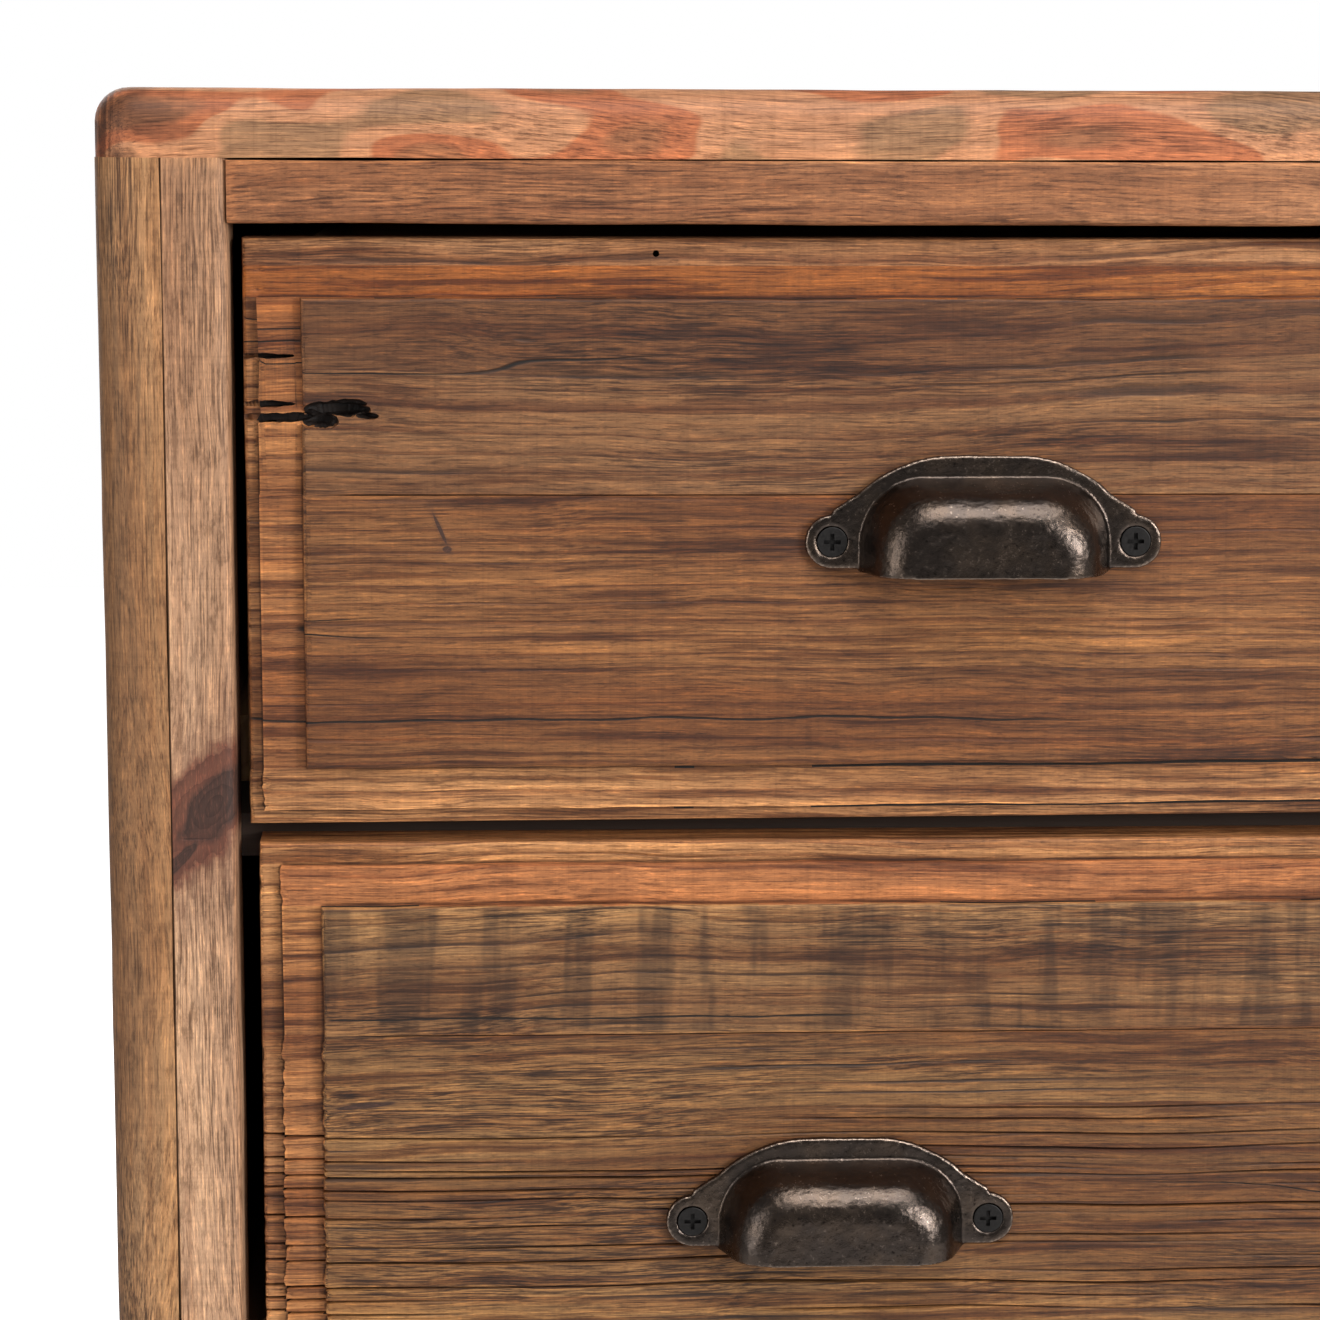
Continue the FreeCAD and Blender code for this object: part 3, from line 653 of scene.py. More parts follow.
for name in nodes:
    if name.startswith(("side_panel", "stile", "top_", "bottom_rail")):
        continue
    if name.endswith(("front", "pull", "pulls", "screws")):
        continue
    if name.startswith(("back_boards", "centre_partition")):
        finish = pine_inside_z
    elif name.endswith(("side_left", "side_right", "runners", "runner", "guides")):
        finish = pine_inside_y
    elif "rail" in name and not name.startswith("back"):
        # The rails between the drawers get the finish with painted shade.
        finish = shaded_rail_pine_x
    else:
        finish = pine_inside_x
    piece = bpy.data.objects[name]
    for slot in piece.material_slots:
        slot.material = finish
    if not piece.material_slots:
        piece.data.materials.append(finish)
print("inside finished")

# %% [markdown]
# ## The drawer fronts
# Each front is a thick board in three levels: a narrow lip, a band a little further out, and the raised
# field that fills the middle. The block is cut along the lines of the steps, and the inner faces are
# drawn forward, as a plane would leave them. The sides' dovetails and the bottom's groove are cut from
# behind with copies of those very boards, so the drawer fits together when it stands open.

# %% The stepped front
def tool_from(node_name):
    """A merged copy of a packed board, to cut its own shape out of another."""
    copy = copy_of(bpy.data.objects[node_name], node_name + "_tool")
    only(copy)
    mode("EDIT")
    bpy.ops.mesh.select_all(action="SELECT")
    bpy.ops.mesh.remove_doubles(threshold=1e-6)
    mode("OBJECT")
    return copy


def step_front(drawer):
    low, high = corners(drawer + "_front")
    short = drawer.startswith("short")
    lip, inset = (short_steps if short else long_steps).values()
    lip_y, band_y = low.y + lip_drop, low.y + band_drop
    band_top = high.z - inset if short else high.z - lip
    piece = start_block(drawer + "_worn_front", (low.x, lip_y, low.z), high)
    mode("EDIT")
    pick(piece, "faces", lambda p: p.y < lip_y + hair)
    bpy.ops.mesh.hide(unselected=True)
    for axis in (0, 2):
        slice_at(axis, (low[axis] + lip, low[axis] + inset, high[axis] - inset, high[axis] - lip))
    bpy.ops.mesh.reveal()
    for level, margin, top, next_level in ((lip_y, lip, band_top, band_y), (band_y, inset, high.z - inset, low.y)):
        pick(piece, "faces", lambda p: p.y < level + hair
             and low.x + margin - hair < p.x < high.x - margin + hair and low.z + margin - hair < p.z < top + hair)
        bpy.ops.mesh.extrude_region_move(TRANSFORM_OT_translate={"value": (0.0, next_level - level, 0.0)})
    if short:
        pick(piece, "faces", lambda p: abs(p.y - lip_y) < hair and p.z > high.z - lip - hair)
        bpy.ops.transform.translate(value=(0.0, rebate_drop, 0.0))
    for level in (low.y, lip_y):
        round_outline(piece, level, 0.9 * mm)
    mode("OBJECT")
    return piece, low, high, lip_y, lip, inset


def round_outline(piece, level, width):
    """In edit mode, bevels the outline of the faces that look forward at a level."""
    def on_outline(edge):
        if len(edge.link_faces) != 2 or any(abs(vertex.co.y - level) >= 0.7 * mm for vertex in edge.verts):
            return False
        return [face.normal.y < -0.9 for face in edge.link_faces].count(True) == 1 and edge.is_convex

    pick_if(piece, "edges", on_outline)
    bevel(width, 2)


face_depth = 1.2 * mm
joint_half, joint_depth, furrow_half = 0.25 * mm, 0.45 * mm, 0.45 * mm


def refine_front(piece, low, high, lip_y, inset, joint_z, rows, fine=1.0 * mm, coarse=5.0 * mm):
    """Divides the face of a front into small squares, finer across the grain than along it."""
    mode("EDIT")
    pick(piece, "faces", lambda p: p.y < lip_y + face_depth)
    bpy.ops.mesh.hide(unselected=True)
    fine_end = inset + 18 * mm
    slice_at(0, (low.x + fine_end, high.x - fine_end))
    slice_at(2, (joint_z - joint_half, joint_z, joint_z + joint_half))
    for row in rows:
        slice_at(2, (row - furrow_half, row, row + furrow_half))
    bpy.ops.mesh.select_mode(type="EDGE")
    mesh = bmesh.from_edit_mesh(piece.data)
    bpy.ops.mesh.select_all(action="DESELECT")
    for vertex in mesh.verts:
        in_face = vertex.co.y < low.y + 0.1 * mm and low.x + inset + mm < vertex.co.x < high.x - inset - mm
        if abs(vertex.co.z - joint_z) < 0.05 * mm and in_face:
            vertex.co.y += joint_depth
    bmesh.update_edit_mesh(piece.data)
    for axis, spacing in ((2, fine), (0, coarse)):
        mesh = bmesh.from_edit_mesh(piece.data)
        places = sorted({round(v.co[axis], 5) for v in mesh.verts if not v.hide})
        kept = [places[0]]
        for value in places[1:]:
            if value - kept[-1] > 4e-5:
                kept.append(value)
        for start, end in zip(kept, kept[1:]):
            near_end = axis == 0 and (end < low.x + fine_end + 1e-4 or start > high.x - fine_end - 1e-4)
            cuts = round((end - start) / (fine if near_end else spacing)) - 1
            if cuts < 1:
                continue

            def crosses(edge):
                if edge.hide:
                    return False
                a, b = (vertex.co[axis] for vertex in edge.verts)
                return min(a, b) > start - 5e-5 and max(a, b) < end + 5e-5 and abs(a - b) > 0.6 * (end - start)

            pick_if(piece, "edges", crosses)
            bpy.ops.mesh.subdivide(number_cuts=cuts)
    bpy.ops.mesh.reveal()
    mode("OBJECT")


def front_group(piece, lip_y):
    """A vertex group of the points on the face, for what wears or swells there."""
    group = piece.vertex_groups.new(name="face")
    group.add([v.index for v in piece.data.vertices if v.co.y < lip_y + 1.5 * mm], 1.0, "REPLACE")


print("front tools ready")

# %% Colours and joints of the fronts
# For each front, the colour and weathering of its upper board and of its lower one.
field_tones = {
    "short_drawer_left": ((srgb(126, 86, 53), 0.75), (srgb(128, 84, 47), 0.12)),
    "short_drawer_right": ((srgb(132, 87, 52), 0.3), (srgb(120, 84, 53), 0.7)),
    "long_drawer_1": ((srgb(144, 102, 62), 0.8), (srgb(138, 97, 57), 1.0)),
    "long_drawer_2": ((srgb(136, 89, 53), 0.25), (srgb(122, 85, 51), 0.8)),
    "long_drawer_3": ((srgb(122, 84, 51), 0.9), (srgb(134, 88, 53), 0.2)),
    "long_drawer_4": ((srgb(130, 87, 52), 0.5), (srgb(120, 83, 51), 0.9)),
}
band_tone = srgb(150, 99, 58)
lip_tone = srgb(156, 108, 68)
# Faces sunk deep into a front, in the rot and nail holes and the cuts from behind, are painted this dark brown. It is
# painted shade, and in the rot holes also the dark of rotted wood.
sunk_shade_tone = srgb(36, 25, 19)
strip_grey = srgb(184, 134, 92)
strip_orange = srgb(170, 106, 50)
band_pale = srgb(170, 120, 76)
band_red = srgb(142, 88, 52)
# The height at which the two boards of each front are joined.
joint_places = {
    "short_drawer_left": 0.9757, "short_drawer_right": 0.9420, "long_drawer_1": 0.8378,
    "long_drawer_2": 0.5710, "long_drawer_3": 0.4210, "long_drawer_4": 0.1690,
}
print("colours for", len(field_tones), "fronts")

# %% Wear
def furrow_rows(top, bottom, seed):
    """Uneven heights for the furrows that weather has cut between the hard rings of a board."""
    chance = random.Random(seed)
    rows = []
    while top > bottom:
        rows.append(round(top, 4))
        top -= chance.choice((2.3, 3.1, 3.9, 4.7, 6.2)) * mm
    return rows


def wear_front(piece, low, high, lip_y, lip, inset, joint_z, rows, seed, taper=0.0):
    """Cuts the furrows, breaks the cut ends of the steps into fibres, and lets the long lines waver."""
    across = ((low.x + lip, 1.0), (low.x + inset, 1.0), (high.x - inset, -1.0), (high.x - lip, -1.0))
    along = (low.z + lip, low.z + inset, high.z - inset, high.z - lip)
    cuts = {row: (0.6 + 0.6 * ((row * 37700.0) % 1.0)) * mm for row in rows}
    for vertex in piece.data.vertices:
        if vertex.co.y > lip_y + face_depth:
            continue
        x, y, z = vertex.co
        cut = cuts.get(round(z, 4), 0.0)
        if cut:
            cut *= max(0.0, min(1.0, 0.45 + 1.9 * wavy((x * 9.0, seed, z * 310.0))))
            vertex.co.y += cut
        for line, inward in across:
            share = max(0.0, 1.0 - abs(x - line) / (1.8 * mm))
            reach = min(abs(line - low.x), abs(high.x - line))
            if share > 0.0 and low.z + reach < z < high.z - reach:
                torn = 0.8 * wavy((seed, 0.3, z * 310.0)) + 0.5 * wavy((seed, 5.3, z * 900.0))
                vertex.co.x += inward * share * (torn * mm + 1.6 * cut)
                vertex.co.y += share * (max(0.0, wavy((seed, 9.3, z * 520.0))) * 1.1 * mm + 0.5 * cut)
        for line in along:
            share = max(0.0, 1.0 - abs(z - line) / (2.0 * mm))
            if share > 0.0:
                ripple = 0.45 * wavy((x * 25.0, seed, 1.3)) + 0.25 * wavy((x * 140.0, seed, 2.3))
                vertex.co.z += ripple * share * mm
        for end, side in ((low.x, -1.0), (high.x, 1.0)):
            if abs(x - end) < 1.2 * mm:
                vertex.co.x -= side * (max(0.0, wavy((seed, 3.3, z * 300.0))) * 0.6 * mm + cut)
        calm = min(abs(z - low.z - inset), abs(z - high.z + inset), abs(z - joint_z)) / (7.0 * mm)
        if low.z + inset < z < high.z - inset:
            drift = 2.6 * wavy((x * 5.0, seed, z * 14.0)) + 0.8 * wavy((x * 24.0, seed, z * 60.0))
            vertex.co.z += min(1.0, calm) * drift * mm
        if taper and z < low.z + inset + mm:
            vertex.co.z += taper * (x - low.x) / (high.x - low.x)


def rotted_hole(x, behind, z, length, depth, height):
    """A ragged cutter for a hole that rot has left. Its y is counted from the front."""
    hole = add("ico_sphere", "hole", subdivisions=5, radius=1.0, location=(x, front_y + behind, z),
               scale=(length, depth, height))
    displace(hole, ragged, height * 1.1)
    return hole


def nail_hole(x, behind, z, radius, depth):
    hole = add("cylinder", "hole", vertices=14, radius=radius, depth=depth, location=(x, front_y + behind, z),
               rotation=(math.pi / 2, 0.0, 0.0))
    displace(hole, ragged, radius * 0.5)
    return hole


print("wear tools ready")

# %% Furrows and holes
# The heights of the furrows, for the boards that are weathered most.
furrows = {
    "short_drawer_left": [],
    "short_drawer_right": furrow_rows(0.9380, 0.908, 4)[::2],
    "long_drawer_1": [0.8191, 0.8160, 0.8120, 0.8081, 0.8055, 0.8028, 0.8010, 0.7975, 0.7949, 0.7922, 0.7901, 0.7877,
                      0.7843, 0.7824, 0.7784, 0.7750, 0.7718, 0.7683, 0.7648] + furrow_rows(0.7600, 0.7125, 5),
    "long_drawer_2": furrow_rows(0.5660, 0.5150, 6),
    "long_drawer_3": furrow_rows(0.4700, 0.4260, 7),
    "long_drawer_4": furrow_rows(0.1640, 0.1170, 8),
}
# Where rot and nails have left holes.
rotted = {
    "short_drawer_left": [(-0.3480, 0.0, 0.9950, 0.0090, 0.007, 0.0019),
                          (-0.3515, 0.0, 0.9925, 0.0050, 0.006, 0.0024),
                          (-0.3440, 0.0, 0.9965, 0.0040, 0.004, 0.0011),
                          (-0.3400, 0.0, 0.9935, 0.0030, 0.003, 0.0008),
                          (-0.3640, 0.002, 0.9930, 0.0120, 0.0070, 0.0013),
                          (-0.3650, 0.004, 0.9962, 0.0080, 0.0045, 0.0008),
                          (-0.3665, 0.004, 1.0085, 0.0090, 0.0045, 0.0008)],
    "long_drawer_4": [(0.2900, 0.0, 0.1780, 0.0060, 0.004, 0.0018)],
}
nailed = {
    "short_drawer_left": [(-0.2683, 0.006, 1.0353, 0.0008, 0.010)],
    "long_drawer_3": [(0.1420, 0.0, 0.4745, 0.0009, 0.014), (0.1510, 0.0, 0.3120, 0.0009, 0.014)],
}
print("furrows:", {drawer: len(rows) for drawer, rows in furrows.items()})

# %% The six fronts
grey_strip = 6.4 * mm
heart_above, heart_below, heart_behind = 0.075, 0.11, 0.045
for number, drawer in enumerate(drawers):
    piece, low, high, lip_y, lip, inset = step_front(drawer)
    combine(piece, [tool_from(drawer + part) for part in ("_side_left", "_side_right", "_bottom")])
    joint_z = joint_places[drawer]
    rows = furrows[drawer]
    refine_front(piece, low, high, lip_y, inset, joint_z, rows)
    holes = [rotted_hole(*row) for row in rotted.get(drawer, [])]
    holes += [nail_hole(*row) for row in nailed.get(drawer, [])]
    combine(piece, holes, solver="MANIFOLD")
    front_group(piece, lip_y)
    displace(piece, slow_waver, 1.2 * mm, vertex_group="face", direction="Y")
    wear_front(piece, low, high, lip_y, lip, inset, joint_z, rows, 11.37 * (number + 1),
               1.6 * mm if drawer == "short_drawer_left" else 0.0)

    def board_of(centre):
        in_field = low.x + inset < centre.x < high.x - inset and low.z + inset < centre.z < high.z - inset
        upper = centre.z > joint_z
        board = (number * 2.0 + (0.0 if upper else 1.0), joint_z + (heart_above if upper else -heart_below),
                 low.y + heart_behind)
        tone, age = field_tones[drawer][0 if upper else 1]
        band_top = high.z - (inset if drawer.startswith("short") else lip)
        in_band = low.x + lip < centre.x < high.x - lip and low.z + lip < centre.z < band_top
        sunk = low.y if in_field else (low.y + band_drop if in_band else lip_y)
        from_end = min(centre.x - low.x, high.x - centre.x)
        least = 3.3 * mm if in_field and from_end < inset + 3 * mm else 1.4 * mm
        from_rim = min(from_end, centre.z - low.z, high.z - centre.z)
        # Faces sunk deep behind the face get the dark tone of painted shade.
        if sunk + least < centre.y < lip_y + 8 * mm and from_rim > 1.5 * mm:
            return board, sunk_shade_tone, age
        if not in_field or centre.y > low.y + band_drop * 0.5:
            on_band = centre.y < lip_y - 0.5 * mm
            tone, age = (band_tone, 0.1) if on_band else (lip_tone, 0.25)
            if drawer == "short_drawer_left" and centre.z > high.z - inset - 0.2 * mm:
                tone, age = (strip_grey, 0.5) if centre.z > high.z - grey_strip else (strip_orange, 0.0)
            elif drawer == "short_drawer_left" and centre.z < low.z + inset and on_band:
                tone, age = band_pale, 0.1
            elif drawer == "long_drawer_1" and centre.z > high.z - inset and on_band:
                tone, age = band_red, 0.1
        return board, tone, age

    mark_boards(piece, board_of)
    mark_edges(piece)
    piece.data.materials.clear()
    piece.data.materials.append(pine_front)
    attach(piece, drawer)
    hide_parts(drawer + "_front")
    print(piece.name, "faces:", len(piece.data.polygons))

# %% [markdown]
# ## The case
# Two solid sides, a stile on the front edge of each, a rail above and below the drawers, and a top board
# with a rounded edge. Each starts as a block, gets its rounded edges by bevels, and is divided so that a
# slow waver can take away the machined flatness.

# %% Case boards
def case_board(name, low, high, rounds, spacing, crown=0.0):
    """A board of the case. rounds lists edge tests with their radius and number of segments; a crown is
    the radius of a rounded upper edge, raised from the top face by insets."""
    piece = start_block(name, low, (high[0], high[1], high[2] - crown))
    mode("EDIT")
    for test, radius, segments in rounds:
        pick(piece, "edges", test)
        bevel(radius, segments)
    if crown:
        pick(piece, "faces", lambda p: close(p.z, high[2] - crown))
        for step in range(8):
            start, end = (math.radians(90.0 * count / 8) for count in (step, step + 1))
            bpy.ops.mesh.inset(thickness=crown * (math.cos(start) - math.cos(end)),
                               depth=crown * (math.sin(end) - math.sin(start)))
    for axis in range(3):
        cells = max(1, round((high[axis] - low[axis]) / spacing[axis]))
        step = (high[axis] - low[axis]) / cells
        slice_at(axis, [low[axis] + step * cell for cell in range(1, cells)])
    mode("OBJECT")
    displace(piece, slow_waver, 0.8 * mm)
    return piece


def finish_board(piece, node, finish, board, tone, age):
    mark_boards(piece, lambda centre: (board, tone, age))
    mark_edges(piece)
    piece.data.materials.append(finish)
    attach(piece, "case")
    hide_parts(node)
    only(piece)
    bpy.ops.object.shade_smooth_by_angle(angle=math.radians(35))
    print(piece.name, "faces:", len(piece.data.polygons))


print("case tools ready")

# %% The top board
# It has round corners in front and a rounded edge on three sides.
low, high = top_low, top_high
top_board = case_board(
    "top_board", low, high,
    [(lambda p: close(p.y, low.y) and close(p.x, low.x), 11 * mm, 6),
     (lambda p: close(p.y, low.y) and close(p.x, high.x), 11 * mm, 6)],
    (0.008, 0.008, 0.004), crown=8.3 * mm)
finish_board(top_board, "top_panel", pine_top,
             (21.0, high.z + 0.03, low.y - 0.06), srgb(178, 124, 88), 0.3)

# %% The sides and stiles
# Each side has an arch between its feet, and a rebate for the boards of the back.
foot_depth, arch_height, arch_corner = 72 * mm, 44 * mm, 22 * mm
past = 10 * mm
back_low, back_high = corners("back_boards")
for side, sign in (("left", -1.0), ("right", 1.0)):
    low, high = corners("side_panel_" + side)
    outer_x = low.x if sign < 0 else high.x
    panel = case_board("side_board_" + side, low, high,
                       [(lambda p: close(p.x, outer_x) and close(p.y, low.y), 9.0 * mm, 7)], (0.01, 0.010, 0.010))
    arch_low = Vector((low.x - past, low.y + foot_depth, low.z - 5 * past))
    arch_high = Vector((high.x + past, high.y - foot_depth, low.z + arch_height))
    arch = start_block("arch", arch_low, arch_high)
    mode("EDIT")
    for corner_y in (arch_low.y, arch_high.y):
        pick(arch, "edges", lambda p: close(p.z, arch_high.z) and close(p.y, corner_y))
        bevel(arch_corner, 10)
    mode("OBJECT")
    start_x, end_x = (low.x - past, back_high.x) if sign > 0 else (back_low.x, high.x + past)
    rebate = start_block("rebate", (start_x, back_low.y, back_low.z), (end_x, high.y + past, high.z + past))
    combine(panel, [arch, rebate])
    finish_board(panel, "side_panel_" + side, pine_side,
                 (31.0 + sign, 0.02, sign * 0.46), srgb(152, 112, 76), 0.7)

    low, high = corners("stile_" + side)
    inner_x, outer_x = (high.x, low.x) if sign < 0 else (low.x, high.x)
    stile = case_board("worn_stile_" + side, low, high,
                       [(lambda p: close(p.x, inner_x) and close(p.y, low.y), 2.2 * mm, 3),
                        (lambda p: close(p.x, outer_x) and close(p.y, low.y), 0.6 * mm, 1)], (0.002, 0.006, 0.004))
    finish_board(stile, "stile_" + side, pine_stile,
                 (41.0 + sign, sign * 0.41, low.y + 0.03), srgb(178, 139, 108), 0.35)

# %% The rails
inner_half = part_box("stile_right")[0][0]
for name, node in (("worn_top_rail", "top_rail"), ("worn_bottom_rail", "bottom_rail")):
    low, high = corners(node)
    edge_z = low.z if node == "top_rail" else high.z
    rail = case_board(name, (-inner_half, low.y, low.z), (inner_half, high.y, min(high.z, top_low.z)),
                      [(lambda p: close(p.z, edge_z) and close(p.y, low.y), 1.5 * mm, 3)], (0.004, 0.006, 0.0015))
    finish_board(rail, node, pine_rail, (51.0, low.z - 0.03, low.y + 0.04),
                 srgb(168, 117, 80), 0.3)

# %% [markdown]
# ## The pulls
# The ten pulls are castings from one pattern: a thin plate with an ear round each screw, and a hollow cup
# that the fingers go behind. Each form starts as a block or a cylinder and is joined to the others, the
# hollow and the countersinks are cut out, and a fine remesh makes one skin of them. Smoothing then rounds
# the inner corners, as sand casting does, and a little noise pits the skin.

# %% Cast iron
def cast_iron():
    material, s, shader = new_material("antique cast iron")
    sand = s.noise(s.place(), 950.0, 4.0, 0.7)
    patches = s.noise(s.place(), 85.0, 4.0, 0.6)
    edge = s.attribute("edge")
    colour = s.blend(patches.between(0.4, 0.65), srgb(70, 62, 57), srgb(84, 72, 63))
    # Pale on sharp outer edges: worn metal and a painted highlight.
    for share, tone in ((sand.between(0.58, 0.74), (120, 106, 96)), (sand.between(0.42, 0.3), (38, 33, 31)),
                        (edge.between(0.16, 0.5) * 0.6, (170, 150, 134)),
                        (edge.between(-0.1, -0.5) * 0.6, (34, 29, 27))):
        colour = s.blend(share, colour, srgb(*tone))
    s.dress(shader, colour, sand * 0.2 + (patches * 0.1 + 0.09), sand, 0.1 * mm)
    shader["Metallic"].default_value = 1.0
    return material


iron = cast_iron()
print("finish:", iron.name)

# %% Forms of the pull
pull_low, pull_high = corners("short_drawer_left_pull")
pull_centre = (pull_low + pull_high) / 2.0
ear_radius = 6.75 * mm
half_spacing = 38.1 * mm
plate_back = pull_high.y
plate_face = plate_back - 2.4 * mm
pull_x = (pull_low.x + pull_high.x) / 2.0
screw_z = pull_high.z - 21.5 * mm
shoulder_x = 31.6 * mm
plate_half = 52 * mm
wall = 2.2 * mm


def cup_form(name, inset, front_y, back_y, bottom_z, taper, corner, shoulder):
    """The cup as a block, drawn in towards its face, with round upper corners and a round shoulder."""
    half = shoulder_x - inset
    low = (pull_x - half, front_y, bottom_z)
    high = (pull_x + half, back_y, screw_z + 16.3 * mm - inset)
    form = start_block(name, low, high)
    mode("EDIT")
    pick(form, "faces", lambda p: close(p.y, front_y))
    bpy.ops.transform.resize(value=((half - taper) / half, 1.0, 1.0), center_override=(pull_x, front_y, bottom_z))
    pick(form, "edges", lambda p: close(p.y, front_y) and close(p.z, high[2]))
    bpy.ops.transform.translate(value=(0.0, 0.0, -taper))

    def slanted(edge):
        a, b = (vertex.co for vertex in edge.verts)
        return min(a.z, b.z) > high[2] - taper - hair and abs(a.y - b.y) > mm

    pick_if(form, "edges", slanted)
    bevel(corner, 10)
    pick_if(form, "edges", lambda edge: all(close(vertex.co.y, front_y) for vertex in edge.verts)
            and not all(close(vertex.co.z, bottom_z) for vertex in edge.verts))
    bevel(shoulder, 8)
    mode("OBJECT")
    return form


def plate_form(name, top_z, shoulder_z, slope, corner):
    """A layer of the plate: a flat block whose ends are cut off along a slope through the shoulder."""
    form = start_block(name, (pull_x - plate_half, plate_face, screw_z - ear_radius),
                       (pull_x + plate_half, plate_back, top_z))
    mode("EDIT")
    for side in (-1.0, 1.0):
        for x, z, normal in ((shoulder_x, screw_z + shoulder_z, (side * math.sin(slope), 0.0, math.cos(slope))),
                             (half_spacing, screw_z, (side, 0.0, 0.0))):
            bpy.ops.mesh.select_all(action="SELECT")
            bpy.ops.mesh.bisect(plane_co=(pull_x + side * x, plate_face, z), plane_no=normal, clear_outer=True,
                                use_fill=True)
    if corner:
        reach = 0.2 * mm

        def at_corner(edge):
            a, b = (vertex.co for vertex in edge.verts)
            return min(a.z, b.z) > top_z - reach and abs(a.x - b.x) < reach and abs(a.x - pull_x) > 5 * mm

        pick_if(form, "edges", at_corner)
        bevel(corner, 8)
    mode("OBJECT")
    return form


def round_forms(name, front_y, back_y, front_radius, back_radius):
    """A cone or cylinder along Y at each screw."""
    return [add("cone", name, vertices=40, radius1=back_radius, radius2=front_radius, depth=back_y - front_y,
                location=(pull_x + side * half_spacing, (front_y + back_y) / 2.0, screw_z),
                rotation=(math.pi / 2, 0.0, 0.0)) for side in (-1.0, 1.0)]


print("pull is %.1f mm wide" % ((pull_high.x - pull_low.x) / mm))

# %% The pattern
ear_slope = math.radians(32.0)
tangent_x = half_spacing + ear_radius * math.sin(ear_slope)
tangent_z = ear_radius * math.cos(ear_slope)
shoulder_z = tangent_z + (tangent_x - shoulder_x) * math.tan(ear_slope)
pattern = cup_form("pull_pattern", 0.0, pull_low.y, plate_face + 1.0 * mm, screw_z - 7.7 * mm, 5.6 * mm, 15.0 * mm,
                   7.0 * mm)
plates = [plate_form("lower plate", screw_z + 18.0 * mm, shoulder_z, ear_slope, 0.0),
          plate_form("upper plate", pull_high.z, shoulder_z, math.radians(47.0), 13.0 * mm)]
combine(pattern, plates + round_forms("ear", plate_face, plate_back, ear_radius, ear_radius), "UNION")
hollow = cup_form("hollow", wall, pull_low.y + wall, plate_back + 1.0 * mm, screw_z - 9.0 * mm, 5.8 * mm,
                  12.8 * mm, 5.0 * mm)
combine(pattern, [hollow] + round_forms("sink", plate_face - 0.05 * mm, plate_back + 0.1 * mm, 4.2 * mm, 1.9 * mm))
apply_modifier(pattern, "REMESH", mode="VOXEL", voxel_size=0.5 * mm, use_smooth_shade=True)
apply_modifier(pattern, "SMOOTH", factor=0.5, iterations=4)
displace(pattern, clouds("casting waver", 0.007), 0.4 * mm)
displace(pattern, clouds("sand pits", 0.0011, 1), 0.12 * mm, 0.6)
mark_edges(pattern, strength=2.5)
pattern.data.materials.clear()
pattern.data.materials.append(iron)
print("pull pattern faces:", len(pattern.data.polygons))

# %% The ten pulls
pull_places = []
for drawer in drawers:
    if drawer.startswith("short"):
        low, high = corners(drawer + "_pull")
        pull_places.append((drawer, "_cup_pull", (low + high) / 2.0, drawer + "_pull"))
    else:
        low, high = corners(drawer + "_pulls")
        half_width = (pull_high.x - pull_low.x) / 2.0
        for word, x in (("left", low.x + half_width), ("right", high.x - half_width)):
            pull_places.append((drawer, "_cup_pull_" + word, Vector((x, pull_centre.y, (low.z + high.z) / 2.0)),
                                drawer + "_pulls"))
for drawer, ending, centre, node in pull_places:
    pull = copy_of(pattern, drawer + ending)
    pull.data.transform(Matrix.Translation(centre - pull_centre))
    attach(pull, drawer)
    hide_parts(node)
bpy.data.objects.remove(pattern)
print("pulls placed:", len(pull_places))

# %% The screws
black, s, shader = new_material("blackened steel")
fleck = s.noise(s.place(), 1500.0, 3.0)
s.dress(shader, s.blend(fleck, srgb(20, 19, 19), srgb(46, 43, 41)), fleck * 0.3 + 0.35)
shader["Metallic"].default_value = 0.7

head_radius = 3.9 * mm
head_depth = 2.4 * mm
screw = add("cylinder", "screw_pattern", vertices=40, radius=head_radius, depth=head_depth,
            rotation=(math.pi / 2, 0.0, 0.0))
mode("EDIT")
pick(screw, "faces", lambda p: p.y > 1.1 * mm)
bpy.ops.transform.resize(value=(0.42, 1.0, 0.42))
bpy.ops.mesh.extrude_region_move(TRANSFORM_OT_translate={"value": (0.0, 13.0 * mm, 0.0)})
bpy.ops.mesh.extrude_region_move(TRANSFORM_OT_translate={"value": (0.0, 1.0 * mm, 0.0)})
bpy.ops.transform.resize(value=(0.3, 1.0, 0.3))
pick(screw, "edges", lambda p: p.y < -1.1 * mm)
bevel(0.35 * mm, 2)
mode("OBJECT")
for angle in (0.0, math.pi / 2):
    combine(screw, [add("cube", "slot tool", size=1.0, location=(0.0, -head_depth / 2.0, 0.0),
                        scale=(4.2 * mm, head_depth, 1.0 * mm), rotation=(0.0, angle, 0.0))])
screw.data.materials.append(black)
head_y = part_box("short_drawer_left_screws")[0][1] + head_depth / 2.0
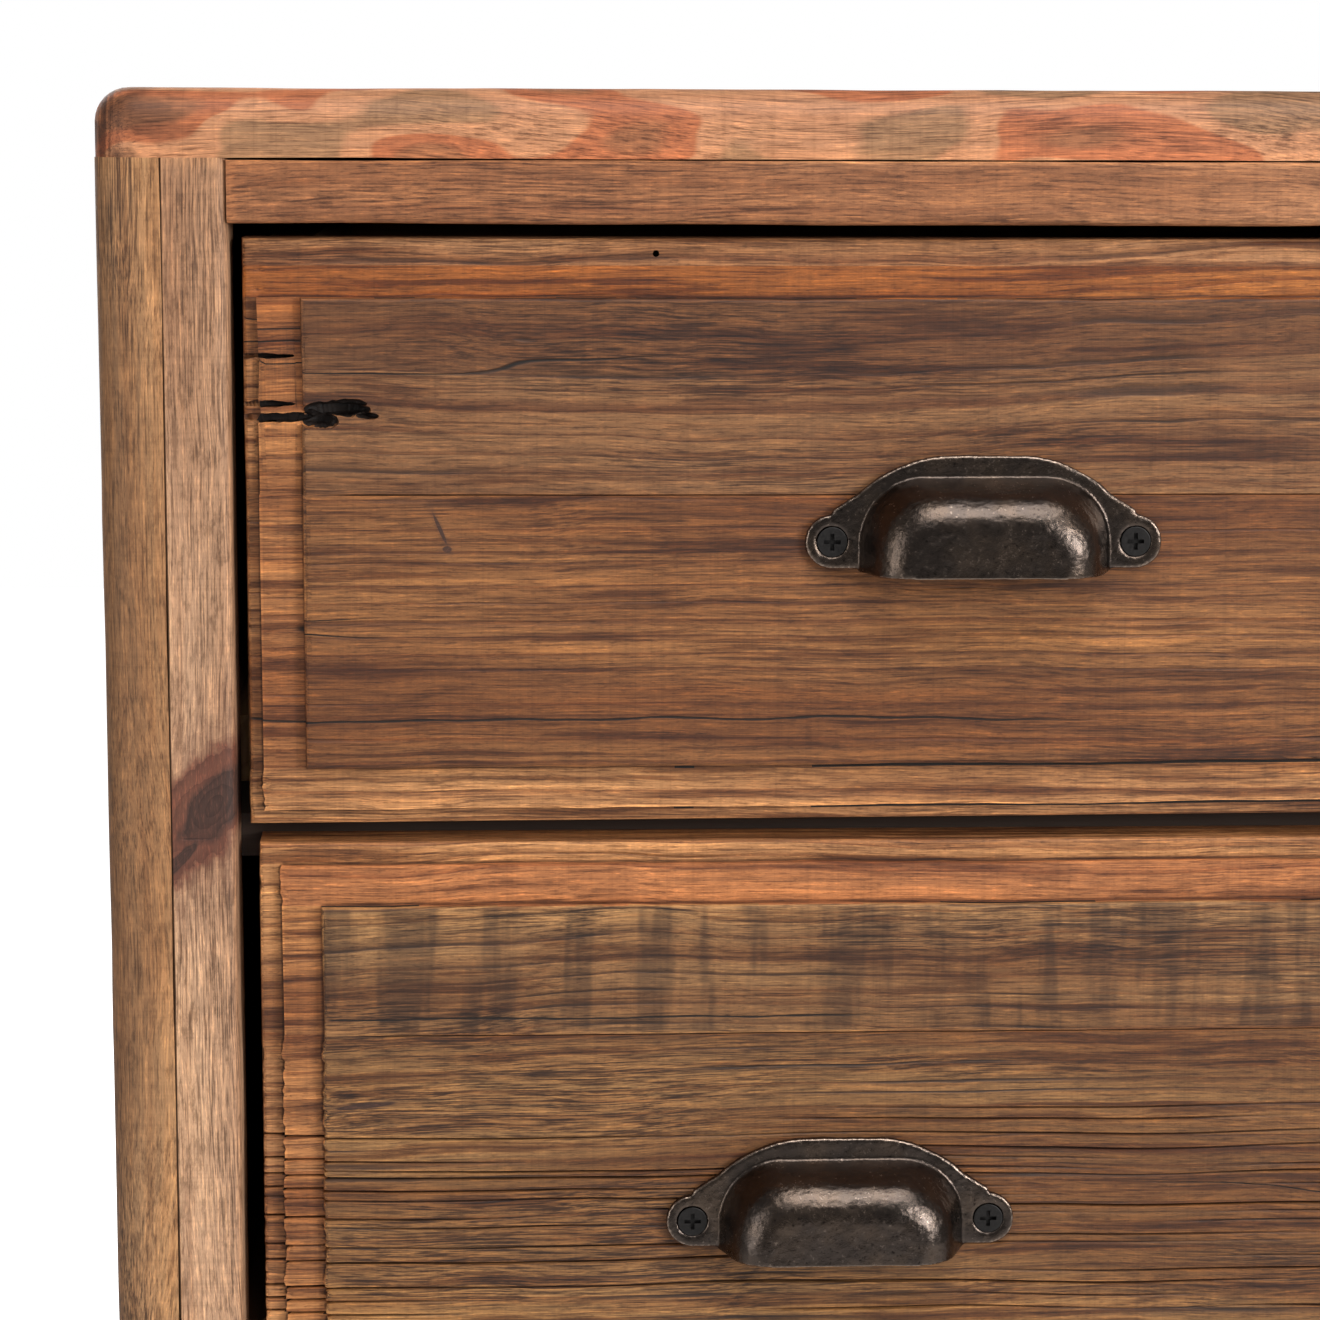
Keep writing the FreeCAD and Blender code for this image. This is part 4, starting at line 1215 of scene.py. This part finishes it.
for drawer, ending, centre, node in pull_places:
    low, high = corners(drawer + "_screws")
    for word, side in (("a", -1.0), ("b", 1.0)):
        copy = copy_of(screw, drawer + ending.replace("_cup_pull", "_screw") + "_" + word)
        copy.data.transform(Matrix.Translation((centre.x + side * half_spacing, head_y, (low.z + high.z) / 2.0)))
        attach(copy, drawer)
        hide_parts(drawer + "_screws")
bpy.data.objects.remove(screw)
print("screws placed")

# %% [markdown]
# ## Stage and light
# A pale floor that fades into a white background, a large soft lamp from the right that draws the shadows
# of the steps to the left, and weaker ones from the left, from above and from behind.

# %% Stage
floor = add("plane", "floor", size=14.0, location=(0.0, 0.0, 0.0))
floor_finish, s, shader = new_material("pale floor")
fade = s.vector("LENGTH", s.place()).between(0.9, 2.6)
s.dress(shader, (0.82, 0.82, 0.82, 1.0), 0.7)
s.feed(shader["Emission Strength"], fade * s.value("Is Camera Ray", "LightPath", {}))
s.feed(shader["Emission Color"], (1.0, 1.0, 1.0, 1.0))
floor.data.materials.append(floor_finish)

world = bpy.data.worlds.new("studio")
bpy.context.scene.world = world
world.use_nodes = True
background = world.node_tree.nodes["Background"].inputs
s = Shades(world.node_tree)
s.feed(background["Color"], (1.0, 1.0, 1.0, 1.0))
s.feed(background["Strength"], s.value("Is Camera Ray", "LightPath", {}) * 0.75 + 0.25)


def soft_lamp(name, where, target, width, height, power):
    data = bpy.data.lights.new(name, "AREA")
    data.shape = "RECTANGLE"
    data.size = width
    data.size_y = height
    data.energy = power
    lamp = bpy.data.objects.new(name, data)
    bpy.context.collection.objects.link(lamp)
    aim = (Vector(target) - Vector(where)).to_track_quat("-Z", "Y")
    lamp.matrix_world = Matrix.LocRotScale(Vector(where), aim, None)


soft_lamp("key", (2.0, -2.2, 1.6), (0.0, -0.2, 0.7), 1.0, 1.0, 72.0)
soft_lamp("left", (-2.2, -1.6, 1.1), (-0.2, -0.2, 0.9), 0.5, 1.6, 14.0)
soft_lamp("rear", (-1.4, 2.6, 1.8), (0.0, 0.2, 0.6), 1.8, 1.8, 45.0)
soft_lamp("overhead", (0.2, -1.3, 2.8), (0.0, -0.1, 0.8), 2.0, 1.2, 48.0)
bpy.context.scene.view_settings.view_transform = "Standard"
